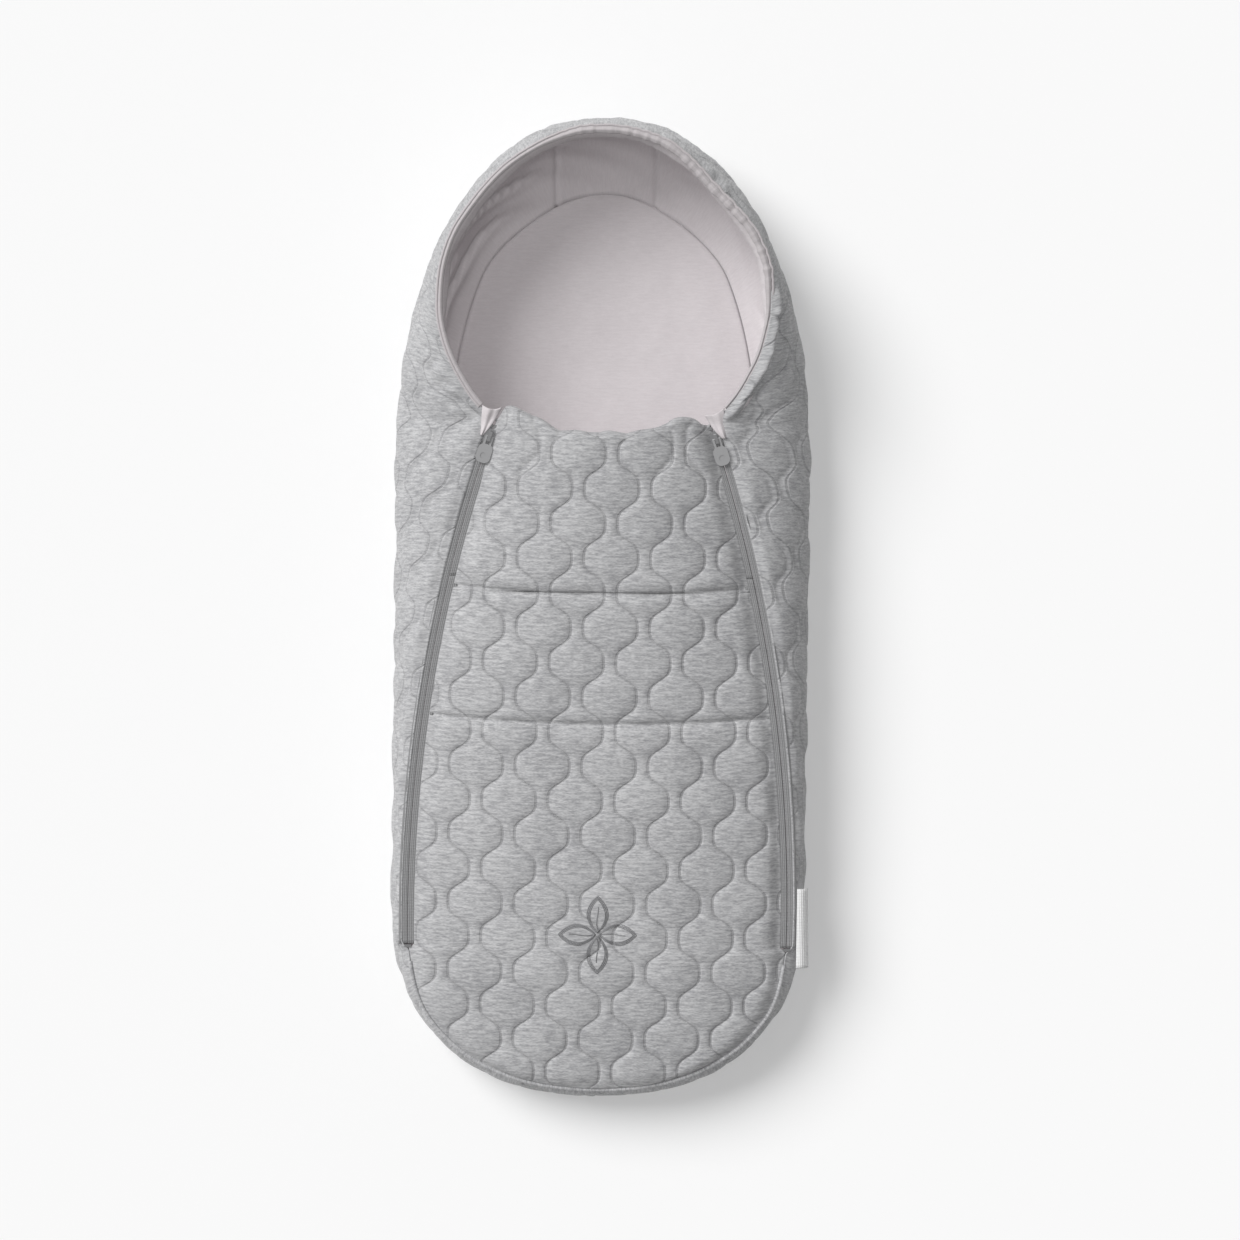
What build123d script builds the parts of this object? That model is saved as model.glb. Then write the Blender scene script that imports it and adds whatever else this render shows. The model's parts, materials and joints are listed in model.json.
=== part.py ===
from build123d import *
import os
from math import asin, copysign, cos, degrees, pi, radians, sin, sqrt

# A quilted sleeping bag for a newborn, lying on its back with both zips closed.
# +X runs across the bag, +Y to the head and +Z up. All sizes are in millimetres.

# ---- the bag's outline and height
LENGTH = 760.0             # overall, from foot to head
WIDTH = 320.0              # overall, at the widest
HEAD_END_LENGTH = 270.0    # stretch that narrows towards the head
FOOT_END_LENGTH = 150.0    # stretch of the round foot end
HEAD_SQUARENESS = 2.2      # exponent of the end's superellipse: 2 is an ellipse, more is squarer
FOOT_SQUARENESS = 2.3
OUTLINE_STEPS = 14         # spline spans round each end
BASE_INSET = 38.0          # how far the flat back lies inside the widest outline
TOP_INSET = 4.0            # how far the top edge of the walls lies inside it
ZIP_HEIGHT = 75.0          # height of the zip plane above the middle of the bag
ZIP_TILT = 4.7             # degrees by which the zip plane rises towards the head

# ---- the quilted layers
OUTER_THICKNESS = 1.0
WADDING_THICKNESS = 8.0
LINING_THICKNESS = 1.0
LAYER_GAP = 0.2
CROWN_AT_TOP = 20.0        # rise of the front cover above its zips, at its top edge
CROWN_AT_FOLD = 16.0       # the same where it folds open
CROWN_AT_FOOT = 3.0        # the same at the very foot

# ---- the head opening
RIM_HEAD_INSET = 13.0      # from the end of the bag to the rim
RIM_SIDE_INSET = 34.0      # from the widest side of the bag to the rim
RIM_END_ANGLE = 50.0       # degrees below the rim's centre at which the zips start
BINDING_RADIUS = 3.2
BINDING_WALL = 0.9
ELASTIC_RADIUS = 1.6
BINDING_END_GAP = 17.0     # from the top of the zips to the ends of the binding
HOOD_SEAM_HALF = 39.0      # half the width of the hood lining's centre panel

# ---- the front cover
UPPER_PANEL_LENGTH = 116.0 # from the cover's top edge to the line where its flap folds down
MIDDLE_PANEL_LENGTH = 112.0
PANEL_SPANS = 4            # sections along each panel, less one
FOLD_FROM_FOOT = 98.0      # from the end of the bag to the line where the cover folds open
FOLD_GAP = 0.6             # slit between two panels that move apart
FOLD_AXIS_RISE = 5.0       # height of a fold's axis above the crown of its panels
FOOT_SEAM_INSET = 10.0     # from the outline to the seam of the foot panel
PIPING_WIDTH = 3.0
PIPING_HEIGHT = 2.5

# ---- the zips
ZIP_SIDE_INSET = 12.8      # from the widest side of the bag to the middle of a zip
ZIP_WIDEST_BELOW = 10.0    # from the start of the round foot to where a zip is widest
ZIP_END_BELOW = 32.0       # from the start of the round foot to the end of a zip
TAPE_THICKNESS = 0.8
TAPE_GAP = 1.3             # between the two tapes of a closed zip; the slider's neck runs in it
WALL_TAPE_TURN = 6.0       # depth of the edge that is turned down into the wall's seam
COIL_WIDTH = 2.0
COIL_HEIGHT = 1.9
ZIP_SLOT_HALF = 5.0        # from the middle of a zip to the edge of the fabric
WALL_TAPE_UNDER = 0.65       # how far a tape reaches under the edge of the fabric
COVER_TAPE_UNDER = 3.05
WALL_TAPE_WIDTH = ZIP_SLOT_HALF + WALL_TAPE_UNDER - TAPE_GAP / 2
COVER_TAPE_WIDTH = ZIP_SLOT_HALF + COVER_TAPE_UNDER - TAPE_GAP / 2
WADDING_CUT_BACK = 5.0     # how much further back the wadding ends
SLOT_END = 4.0             # from the end of a zip to the end of its slot
ZIP_FOLD_GAP = 10.0        # length of zip left out of the flap's edge beside its fold
STOP_LENGTH = 2.0
STOP_HEIGHT = 1.0

# ---- the sliders and their pulls
SLIDER_LENGTH = 11.5
SLIDER_HALF_WIDTH = 4.4
PLATE_THICKNESS = 1.1
SLIDER_CLEARANCE = 0.3
SLIDER_FROM_TOP = 8.8      # from the top of a zip to the middle of its slider at rest
SLIDER_FROM_END = 8.0      # the same at the end of its travel
NECK_WIDTH = 0.7
NECK_LENGTH = 3.0
FLANGE_WIDTH = 1.2
BRIDGE_WIDTH = 2.4
BRIDGE_LENGTH = 9.0
BRIDGE_BAR = 1.1
CROSSBAR_RADIUS = 0.75
PULL_EYE_HALF_WIDTH = 3.2
PULL_EYE_LENGTH = 6.2
PULL_LENGTH = 21.0
PULL_WIDTH = 11.3
PULL_CORNER = 4.5
PULL_RECESS_RADIUS = 2.4
PULL_RECESS_DEPTH = 0.5
PULL_SWING = 150.0         # degrees

# ---- trims
GARAGE_LENGTH = 14.0
GARAGE_HALF_WIDTH = 9.0
GARAGE_THICKNESS = 1.4
GARAGE_GAP = 2.0
MOTIF_FROM_FOOT = 132.0    # from the end of the bag to the middle of the embroidery
MOTIF_SIZE = 58.0
MOTIF_LEAF_WIDTH = 17.0
MOTIF_THICKNESS = 0.8
LABEL_FROM_FOOT = 134.0
LABEL_LENGTH = 62.0
LABEL_WIDTH = 7.5
LABEL_THICKNESS = 0.6
LABEL_SIDE_INSET = 0.4     # from the widest side of the bag to the label's free edge

# ---- places that follow from these
HEAD_END_Y = LENGTH / 2 - HEAD_END_LENGTH
FOOT_END_Y = FOOT_END_LENGTH - LENGTH / 2
WADDING_DEPTH = OUTER_THICKNESS + LAYER_GAP
LINING_DEPTH = WADDING_DEPTH + WADDING_THICKNESS + LAYER_GAP
SHELL_DEPTH = LINING_DEPTH + LINING_THICKNESS
OUTER_LOW = TAPE_THICKNESS + LAYER_GAP / 2      # heights above the zip plane
OUTER_TOP = OUTER_LOW + OUTER_THICKNESS
SLOT_DEPTH = SHELL_DEPTH - OUTER_TOP + 1.5
COVER_LINING_TOP = -COIL_HEIGHT + 0.5
RIM_RADIUS = WIDTH / 2 - RIM_SIDE_INSET
RIM_Y = LENGTH / 2 - RIM_HEAD_INSET - RIM_RADIUS
RIM_SLOT = RIM_RADIUS + BINDING_RADIUS + LAYER_GAP
ZIP_TOP_Y = RIM_Y - (RIM_SLOT + 1.0) * sin(radians(RIM_END_ANGLE))
ZIP_TOP_HALF = (RIM_SLOT + 1.0) * cos(radians(RIM_END_ANGLE))
ZIP_MAX_HALF = WIDTH / 2 - ZIP_SIDE_INSET
ZIP_WIDEST_Y = FOOT_END_Y - ZIP_WIDEST_BELOW
ZIP_END_Y = FOOT_END_Y - ZIP_END_BELOW
ZIP_SPREAD = ZIP_MAX_HALF - ZIP_TOP_HALF
ZIP_RADIUS = (ZIP_SPREAD**2 + (ZIP_TOP_Y - ZIP_WIDEST_Y) ** 2) / (2 * ZIP_SPREAD)
ZIP_CENTRE_X = ZIP_RADIUS - ZIP_MAX_HALF
FLAP_FOLD_Y = ZIP_TOP_Y - UPPER_PANEL_LENGTH
MIDDLE_SEAM_Y = FLAP_FOLD_Y - MIDDLE_PANEL_LENGTH
FOLD_Y = FOLD_FROM_FOOT - LENGTH / 2
SLIDER_TOP_Y = ZIP_TOP_Y - SLIDER_FROM_TOP
SLIDER_END_Y = ZIP_END_Y + SLIDER_FROM_END
PLATE_LOW = TAPE_THICKNESS + SLIDER_CLEARANCE
PLATE_TOP = PLATE_LOW + PLATE_THICKNESS
CROSSBAR_HEIGHT = PLATE_TOP + CROSSBAR_RADIUS + 0.65
FAR = LENGTH + WIDTH       # larger than the bag, for the pieces of space that cut it

ZIP_FRAME = Plane(
    origin=(0, 0, ZIP_HEIGHT),
    x_dir=(1, 0, 0),
    z_dir=(0, -sin(radians(ZIP_TILT)), cos(radians(ZIP_TILT))),
)
WIDEST_FRAME = Plane(
    origin=(0, 0, ZIP_HEIGHT / 2),
    x_dir=(1, 0, 0),
    z_dir=(0, -sin(radians(ZIP_TILT / 2)), cos(radians(ZIP_TILT / 2))),
)


# ---------------------------------------------------------------- outlines
def end_curve(half_width, reach, squareness, start_y, direction):
    """Superelliptic end of an outline, from +X round to -X; direction is 1 at the head, -1 at the foot."""
    points = []
    for step in range(OUTLINE_STEPS + 1):
        angle = pi * step / OUTLINE_STEPS
        across = copysign(abs(cos(angle)) ** (2 / squareness), cos(angle))
        along = abs(sin(angle)) ** (2 / squareness)
        points.append((half_width * across, start_y + direction * reach * along))
    return Spline(*points, tangents=[(0, direction), (0, -direction)])


def outline(inset):
    """Plan outline of the bag, drawn in by inset all round."""
    half = WIDTH / 2 - inset
    head = end_curve(half, HEAD_END_LENGTH - inset, HEAD_SQUARENESS, HEAD_END_Y, 1)
    foot = end_curve(half, FOOT_END_LENGTH - inset, FOOT_SQUARENESS, FOOT_END_Y, -1)
    left = Line((-half, HEAD_END_Y), (-half, FOOT_END_Y))
    right = Line((half, FOOT_END_Y), (half, HEAD_END_Y))
    return make_face([head, left, foot, right])


def span(y_low, y_high, x_low=-FAR, x_high=FAR):
    """Rectangle in plan between two places along the bag."""
    middle = ((x_low + x_high) / 2, (y_low + y_high) / 2)
    return Pos(*middle) * Rectangle(x_high - x_low, y_high - y_low)


def zip_half(y):
    """Half the distance between the two zips."""
    return sqrt(ZIP_RADIUS**2 - (y - ZIP_WIDEST_Y) ** 2) - ZIP_CENTRE_X


def between_zips(outside, y_low, y_high):
    """Plan area between the zips, out to a distance beyond the middle of each."""
    disc = Circle(ZIP_RADIUS + outside)
    area = Pos(ZIP_CENTRE_X, ZIP_WIDEST_Y) * disc & Pos(-ZIP_CENTRE_X, ZIP_WIDEST_Y) * disc
    return area & span(y_low, y_high)


def raised(face, low, high):
    """Solid on a plan face, between two heights above the zip plane."""
    return ZIP_FRAME * extrude(Pos(0, 0, low) * face, high - low)


# ---------------------------------------------------------------- walls, hood and back
def bag_form(depth):
    """Closed form of the bag, drawn in by depth from its outer surface."""
    sections = [
        Pos(0, 0, depth) * outline(BASE_INSET + depth),
        WIDEST_FRAME * outline(depth),
        ZIP_FRAME * Pos(0, 0, OUTER_TOP - depth) * outline(TOP_INSET + depth),
    ]
    return loft(sections, ruled=True)


def mouth(slot_half):
    """Everything that is open in the top of the bag: the head opening, the front and the foot panel."""
    head = Pos(0, RIM_Y) * Circle(RIM_SLOT)
    front = between_zips(slot_half, ZIP_END_Y - SLOT_END, ZIP_TOP_Y + BINDING_END_GAP / 2)
    foot = outline(FOOT_SEAM_INSET) & span(-FAR, ZIP_END_Y - SLOT_END)
    return raised(head + front + foot, -SLOT_DEPTH, 2 * OUTER_TOP)


def shell_layer(depth, thickness, slot_half):
    """One layer of the bag, as a back, a hood and two side walls."""
    inner = depth + thickness
    layer = bag_form(depth) - bag_form(inner) - mouth(slot_half)
    back_area = extrude(Pos(0, 0, -1) * outline(BASE_INSET + inner), inner + 6)
    back = layer & back_area
    sides = layer - back_area
    hood = sides & extrude(span(ZIP_TOP_Y, FAR), 2 * FAR, both=True)
    left = sides & extrude(span(-FAR, ZIP_TOP_Y, x_high=0), 2 * FAR, both=True)
    right = sides & extrude(span(-FAR, ZIP_TOP_Y, x_low=0), 2 * FAR, both=True)
    return back, hood, left, right


def hood_panels(hood):
    """The hood's wadding and lining are each cut as a centre panel and two side panels."""
    cuts = [-FAR, -HOOD_SEAM_HALF, HOOD_SEAM_HALF, FAR]
    panels = []
    for low, high in zip(cuts, cuts[1:]):
        panels.append(hood & extrude(span(-FAR, FAR, low, high), 2 * FAR, both=True))
    return panels


# ---------------------------------------------------------------- front cover
def crown(y):
    """Rise of the cover's middle above its edges."""
    if y > FOLD_Y:
        share = (y - FOLD_Y) / (ZIP_TOP_Y - FOLD_Y)
        return CROWN_AT_FOLD + share * (CROWN_AT_TOP - CROWN_AT_FOLD)
    share = (FOLD_Y - y) / (LENGTH / 2 + FOLD_Y)
    return CROWN_AT_FOLD + share * (CROWN_AT_FOOT - CROWN_AT_FOLD)


def arch(y, half, low, low_crown, high, high_crown):
    """Arched section across the cover: heights of its two faces at the edges, and how far each rises."""
    plane = Plane(origin=(0, y, 0), x_dir=(1, 0, 0), z_dir=(0, -1, 0))
    lower = ThreePointArc((-half, low), (0, low + low_crown), (half, low))
    upper = ThreePointArc((-half, high), (0, high + high_crown), (half, high))
    ends = [Line((-half, low), (-half, high)), Line((half, low), (half, high))]
    return plane * make_face([lower, upper, *ends])


def layer_heights(layer, y):
    """Edge height and rise of the two faces of one layer of the cover."""
    rise = crown(y)
    lining_middle = OUTER_LOW + rise - 2 * LAYER_GAP - WADDING_THICKNESS
    lining_rise = max(lining_middle - COVER_LINING_TOP, 0.5)
    if layer == "outer":
        return OUTER_LOW, rise, OUTER_TOP, rise
    if layer == "motif":
        return OUTER_TOP, rise, OUTER_TOP + MOTIF_THICKNESS, rise
    if layer == "lining":
        return COVER_LINING_TOP - LINING_THICKNESS, lining_rise, COVER_LINING_TOP, lining_rise
    return COVER_LINING_TOP + LAYER_GAP, lining_rise, OUTER_LOW - LAYER_GAP, rise


def panel(layer, y_low, y_high, half=None):
    """One layer of a cover panel between two places along the bag, in the zip plane's own frame."""
    sections = []
    for step in range(PANEL_SPANS + 1):
        y = y_low + (y_high - y_low) * step / PANEL_SPANS
        half_here = half or zip_half(y) - ZIP_SLOT_HALF
        sections.append(arch(y, half_here, *layer_heights(layer, y)))
    return loft(sections)


def cover_panel(layer, y_low, y_high):
    """A layer of the part of the cover that lies between the zips."""
    piece = panel(layer, y_low, y_high)
    if layer == "wadding":
        inner = between_zips(-ZIP_SLOT_HALF - WADDING_CUT_BACK, y_low - 1, y_high + 1)
        piece = piece & extrude(inner, FAR, both=True)
    return ZIP_FRAME * piece


def foot_panel(layer):
    """A layer of the panel that closes the round foot end."""
    inset = FOOT_SEAM_INSET + LAYER_GAP
    if layer == "wadding":
        inset += WADDING_CUT_BACK
    piece = panel(layer, 1 - LENGTH / 2, FOLD_Y - FOLD_GAP / 2, half=WIDTH / 2 - FOOT_SEAM_INSET)
    return ZIP_FRAME * (piece & extrude(outline(inset), FAR, both=True))


def foot_piping():
    """Piping along the wall's side of the foot panel's seam."""
    ring = outline(FOOT_SEAM_INSET - PIPING_WIDTH) - outline(FOOT_SEAM_INSET)
    return raised(ring & span(-FAR, FOLD_Y - FOLD_GAP), OUTER_TOP, OUTER_TOP + PIPING_HEIGHT)


# ---------------------------------------------------------------- rim
def rim_ring(radius):
    """Round ring along the rim of the head opening, from one zip over the head to the other."""
    ring = Pos(0, RIM_Y) * Torus(RIM_RADIUS, radius)
    return ring & extrude(span(ZIP_TOP_Y + BINDING_END_GAP, FAR), FAR, both=True)


# ---------------------------------------------------------------- zips, left-hand ones
def zip_strip(near, far, low, high, y_low, y_high):
    """Strip along the left zip between two distances outside its middle; negative is on the cover's side."""
    band = Circle(ZIP_RADIUS + far) - Circle(ZIP_RADIUS + near)
    area = Pos(ZIP_CENTRE_X, ZIP_WIDEST_Y) * band & span(y_low, y_high, x_high=0)
    return raised(area, low, high)


def wall_tape():
    """Tape on the wall's side, whose outer edge is turned down into the seam."""
    far = TAPE_GAP / 2 + WALL_TAPE_WIDTH
    flat = zip_strip(TAPE_GAP / 2, far, 0, TAPE_THICKNESS, ZIP_END_Y, ZIP_TOP_Y)
    turned = zip_strip(far - TAPE_THICKNESS, far, -WALL_TAPE_TURN, 0, ZIP_END_Y, ZIP_TOP_Y)
    return flat + turned


def cover_tape(y_low, y_high):
    """Tape on the cover's side."""
    near = TAPE_GAP / 2
    return zip_strip(-near - COVER_TAPE_WIDTH, -near, 0, TAPE_THICKNESS, y_low, y_high)


def coil(side, y_low, y_high):
    """Coil under a tape; side is 1 on the wall's side and -1 on the cover's."""
    near = side * TAPE_GAP / 2
    far = side * (TAPE_GAP / 2 + COIL_WIDTH)
    return zip_strip(min(near, far), max(near, far), -COIL_HEIGHT, 0, y_low, y_high)


def top_stop(side):
    """Stop at the top of one tape."""
    near = side * TAPE_GAP / 2
    far = side * (TAPE_GAP / 2 + COIL_WIDTH)
    low_y = ZIP_TOP_Y - STOP_LENGTH
    high = TAPE_THICKNESS + STOP_HEIGHT
    return zip_strip(min(near, far), max(near, far), TAPE_THICKNESS, high, low_y, ZIP_TOP_Y)


def bottom_stop():
    """Bar across both tapes just past the end of the zip."""
    half = TAPE_GAP / 2 + COIL_WIDTH
    high = TAPE_THICKNESS + STOP_HEIGHT
    low_y = ZIP_END_Y - SLIDER_CLEARANCE - STOP_LENGTH
    return zip_strip(-half, half, -COIL_HEIGHT, high, low_y, ZIP_END_Y - SLIDER_CLEARANCE)


def slider_seat():
    """Frame of the left slider at rest: x outwards, y down the zip and z up from its tapes."""
    angle = asin((SLIDER_TOP_Y - ZIP_WIDEST_Y) / ZIP_RADIUS)
    middle = (ZIP_CENTRE_X - ZIP_RADIUS * cos(angle), SLIDER_TOP_Y, 0)
    seat = Plane(origin=middle, x_dir=(-cos(angle), sin(angle), 0), z_dir=(0, 0, 1))
    return ZIP_FRAME.location * seat.location


def block(x_low, x_high, y_low, y_high, z_low, z_high):
    """Box between two corners."""
    middle = ((x_low + x_high) / 2, (y_low + y_high) / 2, (z_low + z_high) / 2)
    return Pos(*middle) * Box(x_high - x_low, y_high - y_low, z_high - z_low)


def slider():
    """Slider with a plate over and under the tapes, a neck between them and a bridge for the pull."""
    half = SLIDER_HALF_WIDTH
    end = SLIDER_LENGTH / 2
    floor = -COIL_HEIGHT - SLIDER_CLEARANCE
    plan = RectangleRounded(2 * half, SLIDER_LENGTH, PLATE_THICKNESS * 2)
    body = extrude(Pos(0, 0, PLATE_LOW) * plan, PLATE_THICKNESS)
    body += extrude(Pos(0, 0, floor - PLATE_THICKNESS) * plan, PLATE_THICKNESS)
    body += block(-NECK_WIDTH / 2, NECK_WIDTH / 2, 1 - end, 1 - end + NECK_LENGTH, floor, PLATE_LOW)
    for side in (-1, 1):
        rail = block(half - FLANGE_WIDTH, half, 2 - end, end - 2, floor, -SLIDER_CLEARANCE)
        body += rail if side > 0 else mirror(rail, about=Plane.YZ)
    arch_half = BRIDGE_LENGTH / 2
    inside_top = CROSSBAR_HEIGHT + CROSSBAR_RADIUS + 0.45
    bridge = block(
        -BRIDGE_WIDTH / 2, BRIDGE_WIDTH / 2, -arch_half, arch_half, PLATE_TOP, inside_top + BRIDGE_BAR
    )
    bridge = fillet(bridge.edges().filter_by(Axis.X).group_by(Axis.Z)[-1], BRIDGE_BAR)
    hole = block(
        -BRIDGE_WIDTH, BRIDGE_WIDTH, BRIDGE_BAR - arch_half, arch_half - BRIDGE_BAR, PLATE_TOP, inside_top
    )
    return body + (bridge - hole)


def pull():
    """Pull tab that lies down the zip, with an eye round the slider's bridge."""
    low = CROSSBAR_HEIGHT - CROSSBAR_RADIUS
    bar = Rot(0, 90, 0) * Cylinder(CROSSBAR_RADIUS, 2 * PULL_EYE_HALF_WIDTH)
    body = Pos(0, 0, CROSSBAR_HEIGHT) * bar
    arm_inside = BRIDGE_WIDTH / 2 + 0.4
    arm = block(arm_inside, PULL_EYE_HALF_WIDTH, 0, PULL_EYE_LENGTH + 0.5, low, low + 2 * CROSSBAR_RADIUS)
    body += arm
    body += mirror(arm, about=Plane.YZ)
    plan = RectangleRounded(PULL_WIDTH, PULL_LENGTH - PULL_EYE_LENGTH, PULL_CORNER)
    middle_y = (PULL_LENGTH + PULL_EYE_LENGTH) / 2
    body += extrude(Pos(0, middle_y, low) * plan, 2 * CROSSBAR_RADIUS)
    top = low + 2 * CROSSBAR_RADIUS
    recess = Pos(0, PULL_LENGTH - PULL_CORNER - 1, top) * Cylinder(PULL_RECESS_RADIUS, 2 * PULL_RECESS_DEPTH)
    return body - recess


def zip_garage():
    """Folded triangle of lining that hides the top end of the left zip."""
    base_y = ZIP_TOP_Y + GARAGE_GAP
    x = -zip_half(base_y)
    corners = [(x - GARAGE_HALF_WIDTH, base_y), (x + GARAGE_HALF_WIDTH, base_y), (x - 2, base_y + GARAGE_LENGTH)]
    low = BINDING_RADIUS + LAYER_GAP
    return raised(make_face(Polyline(*corners, close=True)), low, low + GARAGE_THICKNESS)


# ---------------------------------------------------------------- trims
def motif():
    """Embroidery of four leaves, standing a little proud of the cover."""
    reach = MOTIF_SIZE / 2
    bulge = MOTIF_LEAF_WIDTH / 2
    edges = [
        ThreePointArc((0, 0), (bulge, reach / 2), (0, reach)),
        ThreePointArc((0, reach), (-bulge, reach / 2), (0, 0)),
    ]
    leaf = make_face(edges)
    leaves = Pos(0, 1) * leaf
    for turn in (90, 180, 270):
        leaves += Rot(0, 0, turn) * Pos(0, 1) * leaf
    middle_y = MOTIF_FROM_FOOT - LENGTH / 2
    skin = panel("motif", middle_y - reach - 2, middle_y + reach + 2)
    return ZIP_FRAME * (skin & extrude(Pos(0, middle_y) * leaves, FAR, both=True))


def label():
    """Blank woven label held in the right-hand seam."""
    far = WIDTH / 2 - LABEL_SIDE_INSET
    middle_y = LABEL_FROM_FOOT - LENGTH / 2
    area = span(middle_y - LABEL_LENGTH / 2, middle_y + LABEL_LENGTH / 2, far - LABEL_WIDTH, far)
    return raised(area, OUTER_TOP + LAYER_GAP / 2, OUTER_TOP + LAYER_GAP / 2 + LABEL_THICKNESS)


# ---------------------------------------------------------------- the nodes
def both_sides(nodes, name, piece):
    """Keep a left-hand piece and its mirror image."""
    nodes["left_" + name] = piece
    nodes["right_" + name] = mirror(piece, about=Plane.YZ)


def layers():
    """Fabric nodes: the shell, the cover and the foot panel, each in three layers."""
    nodes = {}
    stack = {
        "outer": (0, OUTER_THICKNESS, ZIP_SLOT_HALF),
        "wadding": (WADDING_DEPTH, WADDING_THICKNESS, ZIP_SLOT_HALF + WADDING_CUT_BACK),
        "lining": (LINING_DEPTH, LINING_THICKNESS, ZIP_SLOT_HALF),
    }
    half_gap = FOLD_GAP / 2
    for layer, (depth, thickness, slot_half) in stack.items():
        back, hood, left, right = shell_layer(depth, thickness, slot_half)
        nodes["back_" + layer] = back
        nodes["left_wall_" + layer] = left
        nodes["right_wall_" + layer] = right
        nodes["foot_panel_" + layer] = foot_panel(layer)
        nodes["cover_upper_" + layer] = cover_panel(layer, FLAP_FOLD_Y + half_gap, ZIP_TOP_Y)
        if layer == "outer":
            nodes["hood_outer"] = hood
            nodes["cover_middle_outer"] = cover_panel(layer, MIDDLE_SEAM_Y, FLAP_FOLD_Y - half_gap)
            nodes["cover_lower_outer"] = cover_panel(layer, FOLD_Y + half_gap, MIDDLE_SEAM_Y)
        else:
            for side, piece in zip(("left", "centre", "right"), hood_panels(hood)):
                nodes[f"hood_{side}_{layer}"] = piece
            nodes["cover_main_" + layer] = cover_panel(layer, FOLD_Y + half_gap, FLAP_FOLD_Y - half_gap)
    return nodes


def zips():
    """Zip nodes, with the cover's side split where the cover folds."""
    nodes = {}
    half_gap = FOLD_GAP / 2
    both_sides(nodes, "wall_tape", wall_tape())
    both_sides(nodes, "wall_coil", coil(1, ZIP_END_Y, ZIP_TOP_Y))
    both_sides(nodes, "upper_tape", cover_tape(FLAP_FOLD_Y + ZIP_FOLD_GAP, ZIP_TOP_Y))
    both_sides(nodes, "upper_coil", coil(-1, FLAP_FOLD_Y + ZIP_FOLD_GAP, ZIP_TOP_Y))
    both_sides(nodes, "main_tape", cover_tape(ZIP_END_Y, FLAP_FOLD_Y - half_gap))
    both_sides(nodes, "main_coil", coil(-1, ZIP_END_Y, FLAP_FOLD_Y - half_gap))
    both_sides(nodes, "slider", slider_seat() * slider())
    both_sides(nodes, "pull", slider_seat() * pull())
    both_sides(nodes, "zip_garage", zip_garage())
    for name, stop in (("wall_top_stops", top_stop(1)), ("cover_top_stops", top_stop(-1))):
        nodes[name] = Compound([stop, mirror(stop, about=Plane.YZ)])
    nodes["bottom_stops"] = Compound([bottom_stop(), mirror(bottom_stop(), about=Plane.YZ)])
    return nodes


def trims():
    """Rim, piping, embroidery and label."""
    return {
        "rim_binding": ZIP_FRAME * (rim_ring(BINDING_RADIUS) - rim_ring(BINDING_RADIUS - BINDING_WALL)),
        "rim_elastic": ZIP_FRAME * rim_ring(ELASTIC_RADIUS),
        "foot_piping": foot_piping(),
        "motif": motif(),
        "label": label(),
    }


def hinge_values():
    """Axes and limits of the moving parts: a point, a direction and the far limit in degrees."""
    normal = ZIP_FRAME.z_dir
    travel = asin((SLIDER_TOP_Y - ZIP_WIDEST_Y) / ZIP_RADIUS) - asin((SLIDER_END_Y - ZIP_WIDEST_Y) / ZIP_RADIUS)
    zip_centre = ZIP_FRAME.from_local_coords(Vector(ZIP_CENTRE_X, ZIP_WIDEST_Y, 0))
    crossbar = (slider_seat() * Pos(0, 0, CROSSBAR_HEIGHT)).position
    across = Plane(slider_seat()).x_dir
    hinges = {
        "left_zip_travel": (zip_centre, normal, degrees(travel)),
        "left_pull_swing": (crossbar, across, PULL_SWING),
    }
    for name, y in (("cover_fold", FOLD_Y), ("flap_fold", FLAP_FOLD_Y)):
        height = OUTER_TOP + crown(y) + FOLD_AXIS_RISE
        hinges[name] = (ZIP_FRAME.from_local_coords(Vector(0, y, height)), Vector(1, 0, 0), 170.0)
    return hinges


def main():
    os.makedirs("parts", exist_ok=True)
    nodes = layers() | zips() | trims()
    for name, shape in nodes.items():
        export_step(shape, f"parts/{name}.step")
    for name, (point, direction, limit) in hinge_values().items():
        print(name, point, direction, round(limit, 3))
    return nodes


NODES = main()
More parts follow.
